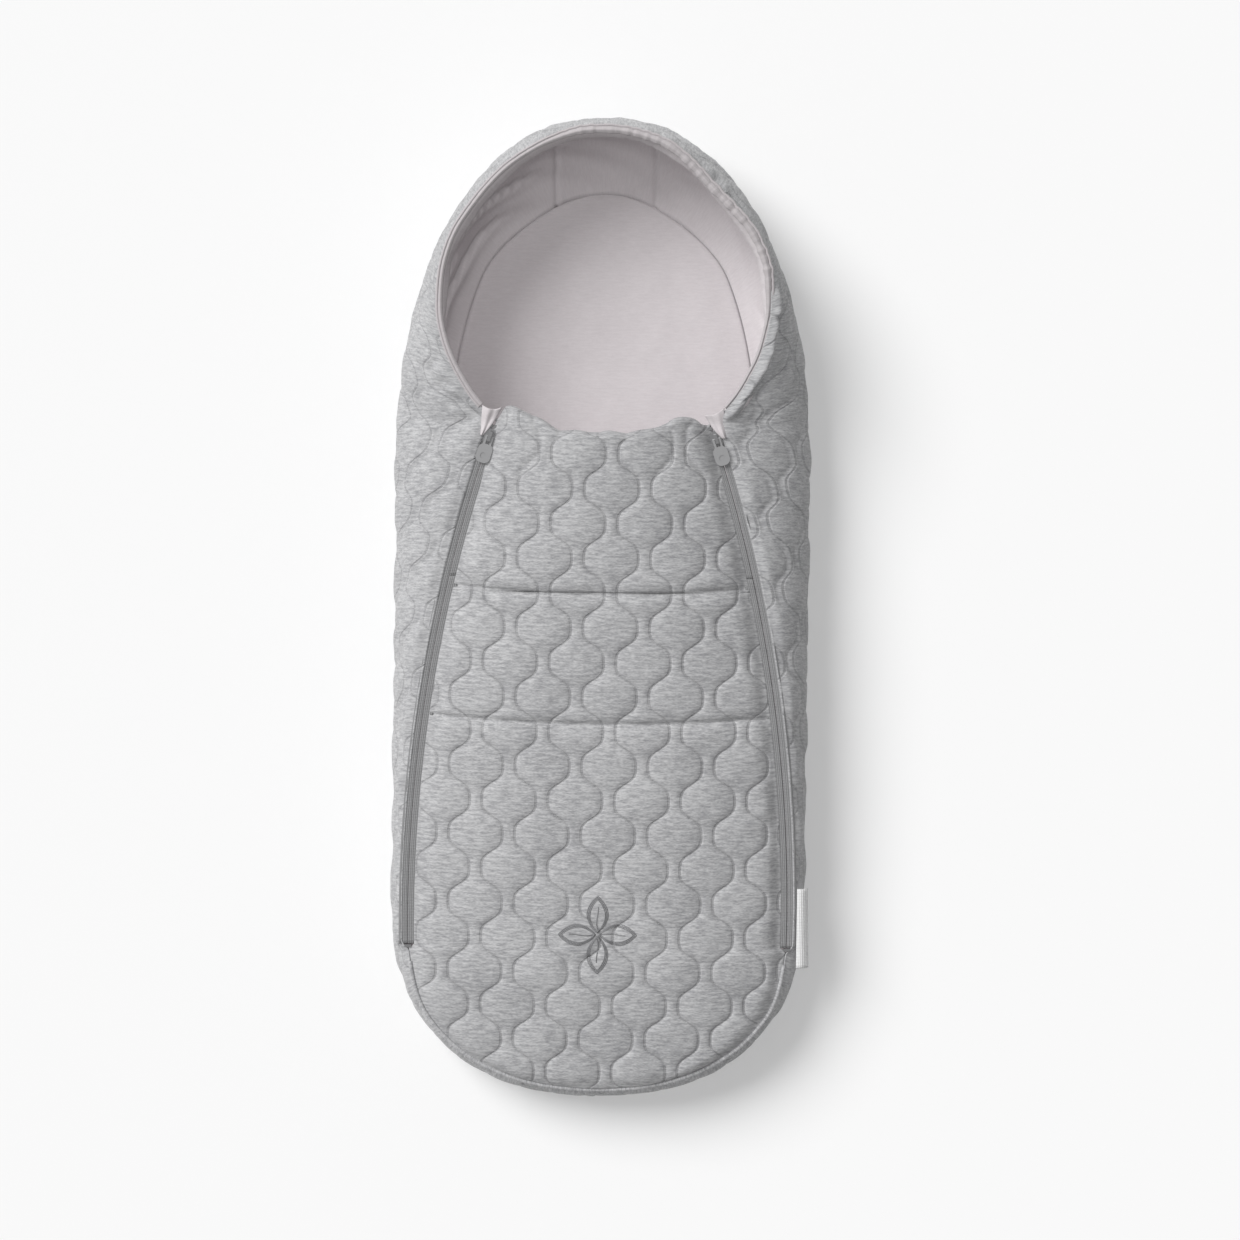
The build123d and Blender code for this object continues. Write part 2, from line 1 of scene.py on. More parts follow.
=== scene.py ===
import bpy
import json
from math import atan2, cos, hypot, pi, radians, sin, tan
import numpy as np
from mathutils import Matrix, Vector


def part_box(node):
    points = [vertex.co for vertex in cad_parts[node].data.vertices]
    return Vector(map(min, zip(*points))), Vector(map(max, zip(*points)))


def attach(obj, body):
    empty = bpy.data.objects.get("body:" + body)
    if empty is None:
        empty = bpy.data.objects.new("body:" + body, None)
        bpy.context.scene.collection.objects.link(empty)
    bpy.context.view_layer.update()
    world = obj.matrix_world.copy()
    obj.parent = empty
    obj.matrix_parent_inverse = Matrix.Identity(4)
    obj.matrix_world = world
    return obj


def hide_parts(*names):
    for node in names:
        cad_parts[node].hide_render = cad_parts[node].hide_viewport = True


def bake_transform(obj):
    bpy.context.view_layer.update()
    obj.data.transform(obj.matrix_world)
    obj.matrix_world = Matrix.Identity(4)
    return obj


# A newborn's quilted sleeping bag, lying on its back: +X across, +Y to the head, +Z up, in metres.
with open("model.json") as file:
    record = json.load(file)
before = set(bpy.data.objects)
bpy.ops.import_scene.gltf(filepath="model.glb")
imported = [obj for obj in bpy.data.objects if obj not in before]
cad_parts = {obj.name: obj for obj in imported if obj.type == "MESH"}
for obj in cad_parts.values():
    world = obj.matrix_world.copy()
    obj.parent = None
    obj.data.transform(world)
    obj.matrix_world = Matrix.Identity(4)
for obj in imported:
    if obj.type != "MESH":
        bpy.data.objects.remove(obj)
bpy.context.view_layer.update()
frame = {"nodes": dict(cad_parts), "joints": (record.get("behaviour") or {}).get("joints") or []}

# ---- places read from the frame
MM = 0.001
JOINTS = {joint["name"]: joint for joint in frame["joints"]}
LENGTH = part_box("hood_outer")[1].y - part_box("left_wall_outer")[0].y
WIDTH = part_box("right_wall_outer")[1].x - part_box("left_wall_outer")[0].x
ZIP_CENTRE = Vector(JOINTS["left_zip_travel"]["pos_m"])
ZIP_NORMAL = Vector(JOINTS["left_zip_travel"]["axis"]).normalized()
TILT = atan2(-ZIP_NORMAL.y, ZIP_NORMAL.z)
ZIP_HEIGHT = ZIP_CENTRE.z - ZIP_CENTRE.y * tan(TILT)


def to_zip_plane(point):
    """Coordinates across, along and above the tilted plane that holds both zips and the rim."""
    x, y, z = point
    z -= ZIP_HEIGHT
    return np.array([x, y * cos(TILT) + z * sin(TILT), z * cos(TILT) - y * sin(TILT)])


ARC_X, ARC_Y, _ = to_zip_plane(ZIP_CENTRE)
PULL_SEAT = to_zip_plane(JOINTS["left_pull_swing"]["pos_m"])
ZIP_RADIUS = hypot(PULL_SEAT[0] - ARC_X, PULL_SEAT[1] - ARC_Y)
ZIP_TOP = to_zip_plane(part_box("left_wall_coil")[1])[1]
ZIP_END = to_zip_plane(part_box("left_wall_coil")[0])[1] + 0.4 * MM
COVER_FOLD = to_zip_plane(JOINTS["cover_fold"]["pos_m"])[1]
FLAP_FOLD = to_zip_plane(JOINTS["flap_fold"]["pos_m"])[1]
RIM_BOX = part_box("rim_elastic")
ELASTIC_RADIUS = 1.6 * MM
RIM_RADIUS = (RIM_BOX[1].x - RIM_BOX[0].x) / 2 - ELASTIC_RADIUS
RIM_Y = to_zip_plane((0, RIM_BOX[1].y, RIM_BOX[1].z))[1] - RIM_RADIUS - ELASTIC_RADIUS

# ---- sizes of the bag
HEAD_END_LENGTH = 270 * MM
FOOT_END_LENGTH = 150 * MM
HEAD_SQUARENESS = 2.2
FOOT_SQUARENESS = 2.3
HEAD_END_Y = LENGTH / 2 - HEAD_END_LENGTH
FOOT_END_Y = FOOT_END_LENGTH - LENGTH / 2
BACK_INSET = 38 * MM
SHELL_DEPTH = 10.4 * MM        # from the outer fabric to the inside of the lining
SLOT_HALF = 5 * MM             # from the middle of a zip to the edge of the fabric
SLOT_END = 4 * MM              # from the end of a zip to the end of its slot
FOOT_SEAM_INSET = 10 * MM
FABRIC_TOP = 1.9 * MM          # height of the outer fabric's edges above the zip plane
TAPE_THICKNESS = 0.8 * MM
RIM_END_ANGLE = radians(50)

UPPER_SEAM = FLAP_FOLD - 12 * MM
MIDDLE_SEAM = UPPER_SEAM - 100 * MM
PANEL_JOIN = FLAP_FOLD - 11 * MM     # where the flap's mesh meets the cover's, in the upper seam's groove
SEAM_SAG = 4.6 * MM            # how much further up the cross seams end at the zips
FOLD_REACH = 12 * MM           # half the length of cloth that bends at a fold

# ---- the quilt
PUFF_WIDTH = 51 * MM           # width of one onion-shaped puff and the neck beside it
PUFF_LENGTH = 53.4 * MM
PUFF_SWAY = 8.1 * MM           # how far a stitch line sways to each side
PUFF_ROUNDNESS = 0.30          # how much rounder a puff is than a plain wave
PUFF_HEIGHT = 3.6 * MM
STITCH_LENGTH = 3.4 * MM
COVER_SHIFT = (5 * MM, -0.6 * MM)    # where the pattern starts on the cover, across and along
SHELL_SHIFT = 6 * MM
BACK_SHIFT = 5 * MM

# ---- the cloths
OUTER_THICKNESS = 0.9 * MM
LINING_THICKNESS = 0.7 * MM
LABEL_THICKNESS = 0.6 * MM
GARAGE_THICKNESS = 1.0 * MM


# ---- small tools
def smooth(value, low, high):
    """0 below low, 1 above high and a soft step between."""
    t = np.clip((value - low) / (high - low), 0, 1)
    return t * t * (3 - 2 * t)


def bell(value, width):
    """1 at zero, with a soft fall to 0 over a width on both sides."""
    return np.exp(-((value / width) ** 2))


def soft_noise(a, b, scale, seed, octaves=3):
    """Smooth noise over two fabric coordinates, about -1 to 1: sines in fixed random directions."""
    waves = np.random.default_rng(seed)
    total = np.zeros(np.broadcast(a, b).shape)
    weight = 0.0
    for octave in range(octaves):
        size = scale / 1.9**octave
        share = 0.6**octave
        layer = np.zeros_like(total)
        for _ in range(5):
            angle = waves.uniform(0, 2 * pi)
            turn = waves.uniform(0, 2 * pi)
            stretch = waves.uniform(0.7, 1.4)
            ahead = a * cos(angle) + b * sin(angle)
            layer = layer + np.sin(2 * pi * stretch * ahead / size + turn)
        total = total + share * layer / 3.2
        weight += share
    return total / weight


def from_zip_plane(across, along, above):
    """Points in the part's frame from coordinates in the zip plane."""
    across, along, above = np.broadcast_arrays(across, along, above)
    y = along * cos(TILT) - above * sin(TILT)
    z = ZIP_HEIGHT + along * sin(TILT) + above * cos(TILT)
    return np.stack([across, y, z], axis=-1)


def zip_half(y):
    """Half the distance between the middles of the zips."""
    return np.sqrt(ZIP_RADIUS**2 - (y - ARC_Y) ** 2) - ARC_X


def slot_half(y):
    """Half the width of the slot that shows a zip, which closes past the zip's end."""
    return SLOT_HALF * (0.2 + 0.8 * smooth(y, ZIP_END - SLOT_END, ZIP_END))


def foot_inset(y):
    """Distance of the foot's seam inside the bag's outline."""
    return FOOT_SEAM_INSET - 5.5 * MM * (1 - smooth(y, ZIP_END - 55 * MM, ZIP_END - SLOT_END))


def outline_half(y, inset):
    """Half the bag's width at a place along it, for its plan outline drawn in by inset."""
    half = WIDTH / 2 - inset
    head = np.clip((y - HEAD_END_Y) / (HEAD_END_LENGTH - inset), 0, 1)
    foot = np.clip((FOOT_END_Y - y) / (FOOT_END_LENGTH - inset), 0, 1)
    at_head = (1 - head**HEAD_SQUARENESS) ** (1 / HEAD_SQUARENESS)
    at_foot = (1 - foot**FOOT_SQUARENESS) ** (1 / FOOT_SQUARENESS)
    return half * np.minimum(at_head, at_foot)


def end_point(angle, inset, at_head):
    """Point of an outline's round end; angle runs from 0 at the +X side to pi at the -X side."""
    half = WIDTH / 2 - inset
    squareness = HEAD_SQUARENESS if at_head else FOOT_SQUARENESS
    reach = (HEAD_END_LENGTH if at_head else FOOT_END_LENGTH) - inset
    across = np.sign(np.cos(angle)) * np.abs(np.cos(angle)) ** (2 / squareness)
    along = np.abs(np.sin(angle)) ** (2 / squareness)
    start = HEAD_END_Y if at_head else FOOT_END_Y
    return half * across, start + (reach * along if at_head else -reach * along)


def distances(points):
    """Distance of each point of a line from its start, along the line."""
    steps = np.linalg.norm(np.diff(points, axis=0), axis=1)
    return np.concatenate([[0], np.cumsum(steps)])


def resample(points, count):
    """Evenly spaced points along a line of many points."""
    length = distances(points)
    at = np.linspace(0, length[-1], count)
    return np.stack([np.interp(at, length, points[:, k]) for k in range(points.shape[1])], axis=1)


def loop_normals(points):
    """Unit normals of a grid of points whose first axis runs round a loop."""
    along = np.roll(points, -1, 0) - np.roll(points, 1, 0)
    across = np.gradient(points, axis=1)
    normal = np.cross(along, across)
    return normal / np.maximum(np.linalg.norm(normal, axis=-1, keepdims=True), 1e-12)


def link(name, data):
    """New object in the scene."""
    piece = bpy.data.objects.new(name, data)
    bpy.context.scene.collection.objects.link(piece)
    return piece


def add_mesh(name, points, faces, uv, material):
    """Smooth mesh with a UV coordinate for each corner of its faces."""
    mesh = bpy.data.meshes.new(name)
    mesh.from_pydata(points.reshape(-1, 3).tolist(), [], faces)
    mesh.uv_layers.new(name="fabric").data.foreach_set("uv", uv.astype(np.float32).ravel())
    mesh.polygons.foreach_set("use_smooth", np.ones(len(faces), bool))
    mesh.update()
    mesh.materials.append(material)
    return link(name, mesh)


def make_grid(name, points, fabric, material, thickness, closed=False, flip=False):
    """Sheet of quads whose outer side is a grid of points, with its fabric coordinates as a UV map."""
    rows, columns = points.shape[:2]
    index = np.arange(rows * columns).reshape(rows, columns)
    if closed:
        index = np.vstack([index, index[:1]])
        fabric = np.concatenate([fabric, fabric[:1]], axis=0)
        fabric[-1, :, 1] = fabric[0, :, 1] + LOOP_LENGTH
    corners = [index[:-1, :-1], index[1:, :-1], index[1:, 1:], index[:-1, 1:]]
    corner_uv = [fabric[:-1, :-1], fabric[1:, :-1], fabric[1:, 1:], fabric[:-1, 1:]]
    if flip:
        corners.reverse()
        corner_uv.reverse()
    faces = np.stack(corners, axis=-1).reshape(-1, 4)
    uv = np.stack(corner_uv, axis=2).reshape(-1, 2)
    piece = add_mesh(name, points, faces.tolist(), uv, material)
    thicken(piece, thickness)
    return piece


def thicken(piece, thickness):
    """Give a sheet a closed thickness on its inner side, kept in its mesh."""
    solid = piece.modifiers.new("thickness", "SOLIDIFY")
    solid.thickness = thickness
    solid.offset = -1
    view = bpy.context.evaluated_depsgraph_get()
    mesh = bpy.data.meshes.new_from_object(piece.evaluated_get(view))
    piece.modifiers.clear()
    piece.data = mesh


def tube(name, path, radii, material, sides):
    """Capped tube along a path, with a radius for each of its points."""
    along = np.gradient(path, axis=0)
    along /= np.linalg.norm(along, axis=1, keepdims=True)
    up = np.array([0.0, -sin(TILT), cos(TILT)])
    side = np.cross(along, up)
    side /= np.linalg.norm(side, axis=1, keepdims=True)
    rise = np.cross(side, along)
    angle = np.linspace(0, 2 * pi, sides, endpoint=False)
    ring = side[:, None] * np.cos(angle)[None, :, None] + rise[:, None] * np.sin(angle)[None, :, None]
    points = path[:, None] + ring * radii[:, None, None]
    index = np.arange(len(path) * sides).reshape(len(path), sides)
    around = np.roll(index, -1, 1)
    faces = np.stack([index[:-1], index[1:], around[1:], around[:-1]], -1).reshape(-1, 4).tolist()
    faces.append(index[0].tolist())
    faces.append(index[-1][::-1].tolist())
    corners = np.concatenate(faces)
    length = distances(path)
    uv = np.stack([(corners % sides) / sides * 2 * pi * radii.mean(), length[corners // sides]], axis=1)
    return add_mesh(name, points, faces, uv, material)


def quilt(across, along):
    """Height of the quilt's puffs from 0 on a stitch line, for fabric coordinates."""
    turn = 2 * pi * along / PUFF_LENGTH
    sway = PUFF_SWAY * np.sin(turn + PUFF_ROUNDNESS * np.sin(2 * turn))
    half = PUFF_WIDTH / 2
    even = (across - sway + half) % PUFF_WIDTH - half
    odd = (across + sway) % PUFF_WIDTH - half
    to_even = np.abs(even)
    to_odd = np.abs(odd)
    width = np.maximum(to_even + to_odd, 1e-4)
    shape = np.clip(4 * to_even * to_odd / width**2, 0, 1)
    edge = 1 - np.exp(-np.minimum(to_even, to_odd) / (1.8 * MM))
    return PUFF_HEIGHT * (width / PUFF_WIDTH) ** 0.5 * (0.5 * shape**0.6 + 0.5 * edge)


# ---- materials
def new_material(name):
    """Empty material with its shader and node tree."""
    material = bpy.data.materials.new(name)
    material.use_nodes = True
    tree = material.node_tree
    return material, tree, tree.nodes["Principled BSDF"]


def settings(node, **values):
    """Set a node's inputs, named with _ for a space."""
    for name, value in values.items():
        node.inputs[name.replace("_", " ")].default_value = value


def maths(tree, operation, first, second=None, third=None):
    """Maths node on sockets or numbers; gives its output socket."""
    node = tree.nodes.new("ShaderNodeMath")
    node.operation = operation
    for slot, value in enumerate((first, second, third)):
        if value is None:
            continue
        if isinstance(value, (int, float)):
            node.inputs[slot].default_value = value
        else:
            tree.links.new(value, node.inputs[slot])
    return node.outputs[0]


def times(tree, first, second):
    """Product of two sockets or numbers."""
    return maths(tree, "MULTIPLY", first, second)


def fabric_axes(tree):
    """The fabric's two coordinates in millimetres: across it and along it."""
    uv = tree.nodes.new("ShaderNodeUVMap")
    uv.uv_map = "fabric"
    split = tree.nodes.new("ShaderNodeSeparateXYZ")
    tree.links.new(uv.outputs["UV"], split.inputs[0])
    across = times(tree, split.outputs["X"], 1000)
    return across, times(tree, split.outputs["Y"], 1000)


def noise(tree, across, along, across_size, along_size, detail=2.0, seed=0.0):
    """Noise from 0 to 1 whose grains have a size across and along the fabric, in millimetres."""
    join = tree.nodes.new("ShaderNodeCombineXYZ")
    tree.links.new(maths(tree, "DIVIDE", across, across_size), join.inputs["X"])
    tree.links.new(maths(tree, "DIVIDE", along, along_size), join.inputs["Y"])
    settings(join, Z=seed)
    texture = tree.nodes.new("ShaderNodeTexNoise")
    settings(texture, Scale=1.0, Detail=detail)
    tree.links.new(join.outputs[0], texture.inputs["Vector"])
    return texture.outputs["Fac"]


def stretch_range(tree, value, low, high):
    """0 at low, 1 at high, with soft ends."""
    node = tree.nodes.new("ShaderNodeMapRange")
    node.interpolation_type = "SMOOTHSTEP"
    tree.links.new(value, node.inputs["Value"])
    settings(node, From_Min=low, From_Max=high)
    return node.outputs["Result"]


def mix_colour(tree, share, first, second):
    """Mix of two colours or colour sockets."""
    node = tree.nodes.new("ShaderNodeMix")
    node.data_type = "RGBA"
    if isinstance(share, float):
        node.inputs["Factor"].default_value = share
    else:
        tree.links.new(share, node.inputs["Factor"])
    for slot, value in ((6, first), (7, second)):
        if isinstance(value, tuple):
            node.inputs[slot].default_value = (*value, 1)
        else:
            tree.links.new(value, node.inputs[slot])
    return node.outputs[2]


def bump(tree, shader, height, depth_mm):
    """Relief of a height from 0 to 1 over a depth in millimetres."""
    node = tree.nodes.new("ShaderNodeBump")
    settings(node, Strength=1.0, Distance=depth_mm * MM)
    tree.links.new(height, node.inputs["Height"])
    tree.links.new(node.outputs["Normal"], shader.inputs["Normal"])


def wave(tree, place, length):
    """Sine of a place, with its wave length in the same units."""
    return maths(tree, "SINE", times(tree, place, 2 * pi / length))


def knit(tree, across, along, gauge):
    """Relief of fine knitting: small ribs along the fabric broken into stitches."""
    return times(tree, wave(tree, across, gauge), wave(tree, along, gauge))


def stitch_mask(tree, across, along):
    """1 on the thread of the quilt's stitches and 0 elsewhere, and the same for the groove they lie in."""
    turn = times(tree, along, 2 * pi / (PUFF_LENGTH / MM))
    again = maths(tree, "SINE", times(tree, turn, 2.0))
    swing = maths(tree, "SINE", maths(tree, "MULTIPLY_ADD", again, PUFF_ROUNDNESS, turn))
    sway = times(tree, swing, PUFF_SWAY / MM)
    width = PUFF_WIDTH / MM
    even = maths(tree, "ADD", maths(tree, "SUBTRACT", across, sway), width / 2)
    even = maths(tree, "FLOORED_MODULO", even, width)
    odd = maths(tree, "FLOORED_MODULO", maths(tree, "ADD", across, sway), width)
    near_even = maths(tree, "ABSOLUTE", maths(tree, "SUBTRACT", even, width / 2))
    near_odd = maths(tree, "ABSOLUTE", maths(tree, "SUBTRACT", odd, width / 2))
    near = maths(tree, "MINIMUM", near_even, near_odd)
    line = maths(tree, "SUBTRACT", 1.0, stretch_range(tree, near, 0.35, 0.75))
    dash = maths(tree, "FLOORED_MODULO", along, STITCH_LENGTH / MM)
    dash = stretch_range(tree, dash, 0.35, 0.9)
    groove = maths(tree, "SUBTRACT", 1.0, stretch_range(tree, near, 0.1, 1.9))
    return times(tree, line, dash), groove


def jersey(name, light, dark, streak, stitched=False, knit_gauge=1.15, relief=0.12):
    """Heathered jersey: light yarn with short darker streaks across the fabric."""
    material, tree, shader = new_material(name)
    across, along = fabric_axes(tree)
    coarse = noise(tree, across, along, 9.0, 1.7, 3.0)
    fine = noise(tree, across, along, 2.6, 0.55, 2.0, 7.0)
    cloud = noise(tree, across, along, 60.0, 40.0, 1.0, 3.0)
    share = maths(tree, "ADD", times(tree, coarse, 0.55), times(tree, fine, 0.45))
    share = maths(tree, "ADD", share, times(tree, maths(tree, "SUBTRACT", cloud, 0.5), 0.12))
    share = stretch_range(tree, share, 0.5 - streak, 0.5 + streak)
    colour = mix_colour(tree, share, dark, light)
    height = times(tree, knit(tree, across, along, knit_gauge), 0.35)
    height = maths(tree, "ADD", height, times(tree, fine, 0.8))
    if stitched:
        thread, groove = stitch_mask(tree, across, along)
        thread_colour = tuple(0.6 * part for part in dark)
        colour = mix_colour(tree, times(tree, thread, 0.42), colour, thread_colour)
        height = maths(tree, "SUBTRACT", height, times(tree, groove, 4.5))
        height = maths(tree, "ADD", height, times(tree, thread, 1.2))
    tree.links.new(colour, shader.inputs["Base Color"])
    settings(shader, Roughness=0.92, Sheen_Weight=0.25, Sheen_Roughness=0.5, Specular_IOR_Level=0.15)
    bump(tree, shader, height, relief)
    return material


def ribbed_tape(name, colour):
    """Woven tape or thread, ribbed along and across, with painted light on the ribs' tops and painted shade
    in the hollows between them.
    """
    material, tree, shader = new_material(name)
    across, along = fabric_axes(tree)
    weft = times(tree, wave(tree, along, 1.2), 0.8)
    height = maths(tree, "ADD", wave(tree, across, 1.4), weft)
    mottle_and_painted_rib_shade = stretch_range(tree, noise(tree, across, along, 1.2, 4.0), 0.2, 0.8)
    # painted light and shade of the ribs: the colour is lighter where a rib is high and darker in its
    # hollows
    painted_rib_light = stretch_range(tree, height, -1.4, 1.4)
    # random mottling mixed with the painted rib light and shade
    mottle_and_painted_rib_shade = maths(tree, "ADD", times(tree, mottle_and_painted_rib_shade, 0.3), times(tree, painted_rib_light, 0.7))
    base = mix_colour(tree, mottle_and_painted_rib_shade, tuple(0.68 * part for part in colour), colour)
    tree.links.new(base, shader.inputs["Base Color"])
    settings(shader, Roughness=0.8)
    bump(tree, shader, height, 0.12)
    return material


def plain(name, colour, roughness, metallic=0.0, speckle=0.06):
    """Smooth hard material with a faint mottling."""
    material, tree, shader = new_material(name)
    place = tree.nodes.new("ShaderNodeTexCoord")
    texture = tree.nodes.new("ShaderNodeTexNoise")
    settings(texture, Scale=400.0)
    tree.links.new(place.outputs["Object"], texture.inputs["Vector"])
    base = mix_colour(tree, texture.outputs["Fac"], tuple((1 - speckle) * part for part in colour), colour)
    tree.links.new(base, shader.inputs["Base Color"])
    settings(shader, Roughness=roughness, Metallic=metallic)
    bump(tree, shader, texture.outputs["Fac"], 0.02)
    return material


HEATHER = ((0.52, 0.52, 0.525), (0.27, 0.27, 0.28), 0.17)       # light yarn, dark yarn and their spread
PINK_GREY = ((0.62, 0.585, 0.597), (0.55, 0.515, 0.527), 0.25)
# the rim binding's greys are the lining's greys made darker: painted shade for the shade the binding lies in
RIM_GREY_PAINTED_SHADE = ((0.50, 0.47, 0.478), (0.43, 0.405, 0.412), 0.25)
OUTER = jersey("outer_jersey", *HEATHER, stitched=True)
PLAIN_OUTER = jersey("outer_jersey_plain", *HEATHER)
LINING = jersey("lining_jersey", *PINK_GREY, knit_gauge=0.9, relief=0.07)
TAPE = ribbed_tape("zip_tape", (0.30, 0.30, 0.305))
COIL = plain("zip_coil", (0.24, 0.24, 0.25), 0.45)
METAL = plain("slider_metal", (0.25, 0.25, 0.255), 0.36, metallic=0.5)
PULL = plain("pull_metal", (0.31, 0.31, 0.315), 0.42, metallic=0.15)
# the binding's jersey in its darker greys, painted shade
BINDING_PAINTED_SHADE = jersey("binding_jersey", *RIM_GREY_PAINTED_SHADE, knit_gauge=0.9, relief=0.10)
LABEL = ribbed_tape("label_tape", (0.90, 0.90, 0.90))
THREAD = ribbed_tape("embroidery", (0.30, 0.30, 0.31))


# ---- the shell round its perimeter
STATION_GAP = 1.95 * MM
HOOD_PANEL_Y = 285 * MM        # where the hood lining's middle panel starts
HOOD_PANEL_HALF = 39 * MM      # half its width
LOWEST = 0.4 * MM              # height of the lowest point above the floor


def outline_at(part, inset):
    """Point on an inset outline's +X side; part runs to 1 at the foot, 2 up the side, 3 at the head."""
    foot = end_point(np.clip(1 - part, 0, 1) * pi / 2, inset, False)
    head = end_point(np.clip(part - 2, 0, 1) * pi / 2, inset, True)
    side_y = FOOT_END_Y + np.clip(part - 1, 0, 1) * (HEAD_END_Y - FOOT_END_Y)
    side_x = np.full(part.shape, WIDTH / 2 - inset)
    x = np.where(part < 1, foot[0], np.where(part > 2, head[0], side_x))
    y = np.where(part < 1, foot[1], np.where(part > 2, head[1], side_y))
    return np.stack([x, y], axis=1)


def even_stations():
    """Places along half the outline that are evenly spaced, and their distances from the foot's middle."""
    part = np.linspace(0, 3, 6001)
    line = outline_at(part, 0)
    length = distances(line)
    count = 2 * round(length[-1] / STATION_GAP / 2) + 1
    at = np.linspace(0, length[-1], count)
    return np.interp(at, length, part), at


STATIONS, DISTANCE = even_stations()
WIDEST = outline_at(STATIONS, 0)
ZIP_FIRST = int(np.searchsorted(WIDEST[:, 1], ZIP_END - SLOT_END))
ZIP_LAST = int(np.searchsorted(WIDEST[:, 1], ZIP_TOP))
LOOP_LENGTH = 2 * DISTANCE[-1]


def rim_reach(angle):
    """Radius of the head opening: a circle drawn in a little at its upper left and right."""
    degrees = np.degrees(angle)
    right = 9.5 * MM * bell(degrees - 44, 21)
    left = 4.5 * MM * bell(degrees - 138, 20)
    return RIM_RADIUS - left - right


def rim_angle(index):
    """Angle round the rim that belongs to stations past the zip's top."""
    share = (DISTANCE[index] - DISTANCE[ZIP_LAST]) / (DISTANCE[-1] - DISTANCE[ZIP_LAST])
    return -RIM_END_ANGLE + share * (pi / 2 + RIM_END_ANGLE)


def upper_edge(past_seam, past_slot, past_rim, side):
    """Upper edge of a layer of one half of the shell: round the foot, up the zip and round the rim."""
    edge = outline_at(STATIONS, foot_inset(WIDEST[:, 1]) + past_seam)
    zip_part = slice(ZIP_FIRST, ZIP_LAST + 1)
    y = np.clip(WIDEST[zip_part, 1], ZIP_END - SLOT_END, ZIP_TOP)
    edge[zip_part] = np.stack([zip_half(y) + slot_half(y) + past_slot, y], axis=1)
    angle = rim_angle(np.arange(ZIP_LAST + 1, len(STATIONS)))
    reach = rim_reach(angle if side > 0 else pi - angle) + past_rim
    edge[ZIP_LAST + 1:] = np.stack([reach * np.cos(angle), RIM_Y + reach * np.sin(angle)], axis=1)
    for _ in range(3):
        edge[1:-1] = (edge[:-2] + 2 * edge[1:-1] + edge[2:]) / 4
    return edge


def lining_inset():
    """Distance of the lining's lower seam inside the outline at each station; it grows at the hood."""
    return BACK_INSET + 0.5 * MM + 14.5 * MM * smooth(WIDEST[:, 1], HOOD_PANEL_Y, LENGTH / 2)


def shell_section(back_inset, side_inset, edge, low_z, edge_height, lower, upper):
    """Grid of points of half the shell, from its lower edge over its widest line to its upper edge."""
    back = outline_at(STATIONS, back_inset)
    widest = outline_at(STATIONS, side_inset)
    middle_z = ZIP_HEIGHT / 2 + widest[:, 1] * tan(TILT / 2)
    top = from_zip_plane(edge[:, 0], edge[:, 1], edge_height)
    columns = []
    for turn in np.linspace(0, pi / 2, lower, endpoint=False):
        plan = back + (widest - back) * sin(turn)
        rise = low_z + (middle_z - low_z) * (1 - cos(turn))
        columns.append(np.column_stack([plan, rise]))
    for turn in np.linspace(0, pi / 2, upper):
        straight = turn / (pi / 2)
        over = 0.6 * cos(turn) + 0.4 * (1 - straight)
        up = 0.6 * sin(turn) + 0.4 * straight
        plan = top[:, :2] + (widest - top[:, :2]) * over
        rise = middle_z + (top[:, 2] - middle_z) * up
        columns.append(np.column_stack([plan, rise]))
    return np.stack(columns, axis=1)


def full_loop(right, left):
    """Loop up the +X side and back down the -X side, from the two halves, both given on the +X side."""
    other = left[-2:0:-1].copy()
    other[..., 0] *= -1
    return np.concatenate([right, other], axis=0)


def shell_loop(back_inset, side_inset, past_seam, past_slot, past_rim, low_z, edge_height, lower, upper):
    """Grid of points of one layer of the shell all the way round."""
    halves = []
    for side in (1, -1):
        edge = upper_edge(past_seam, past_slot, past_rim, side)
        halves.append(shell_section(back_inset, side_inset, edge, low_z, edge_height, lower, upper))
    return full_loop(*halves)


def loop_fabric(points):
    """Fabric coordinates of a loop: across from the upper edge, and along the perimeter."""
    steps = np.linalg.norm(np.diff(points, axis=1), axis=2)
    from_low = np.concatenate([np.zeros((len(points), 1)), np.cumsum(steps, axis=1)], axis=1)
    across = from_low[:, -1:] - from_low
    along = np.concatenate([DISTANCE, LOOP_LENGTH - DISTANCE[-2:0:-1]])
    return np.stack([across, np.repeat(along[:, None], points.shape[1], 1)], axis=-1), from_low


def loop_rim_angle(count):
    """Rim angle in degrees of each of the loop's stations, and 1 on the rim or 0 elsewhere."""
    degrees, at_rim = np.zeros((2, count, 1))
    right = np.arange(ZIP_LAST, len(STATIONS))
    left = right[-2::-1]
    end = len(STATIONS) + len(left)
    degrees[right, 0] = np.degrees(rim_angle(right))
    degrees[len(STATIONS):end, 0] = np.degrees(pi - rim_angle(left))
    at_rim[ZIP_LAST:end] = 1
    return degrees, at_rim


def lining_part(name, points, fabric, first, last):
    """Lining between two stations of the loop, which may run past the loop's start."""
    rows = np.arange(first, last + 1)
    turns = rows // len(points)
    part = fabric[rows % len(points)].copy()
    part[..., 1] += turns[:, None] * LOOP_LENGTH
    return make_grid(name, points[rows % len(points)], part, LINING, LINING_THICKNESS, flip=True)


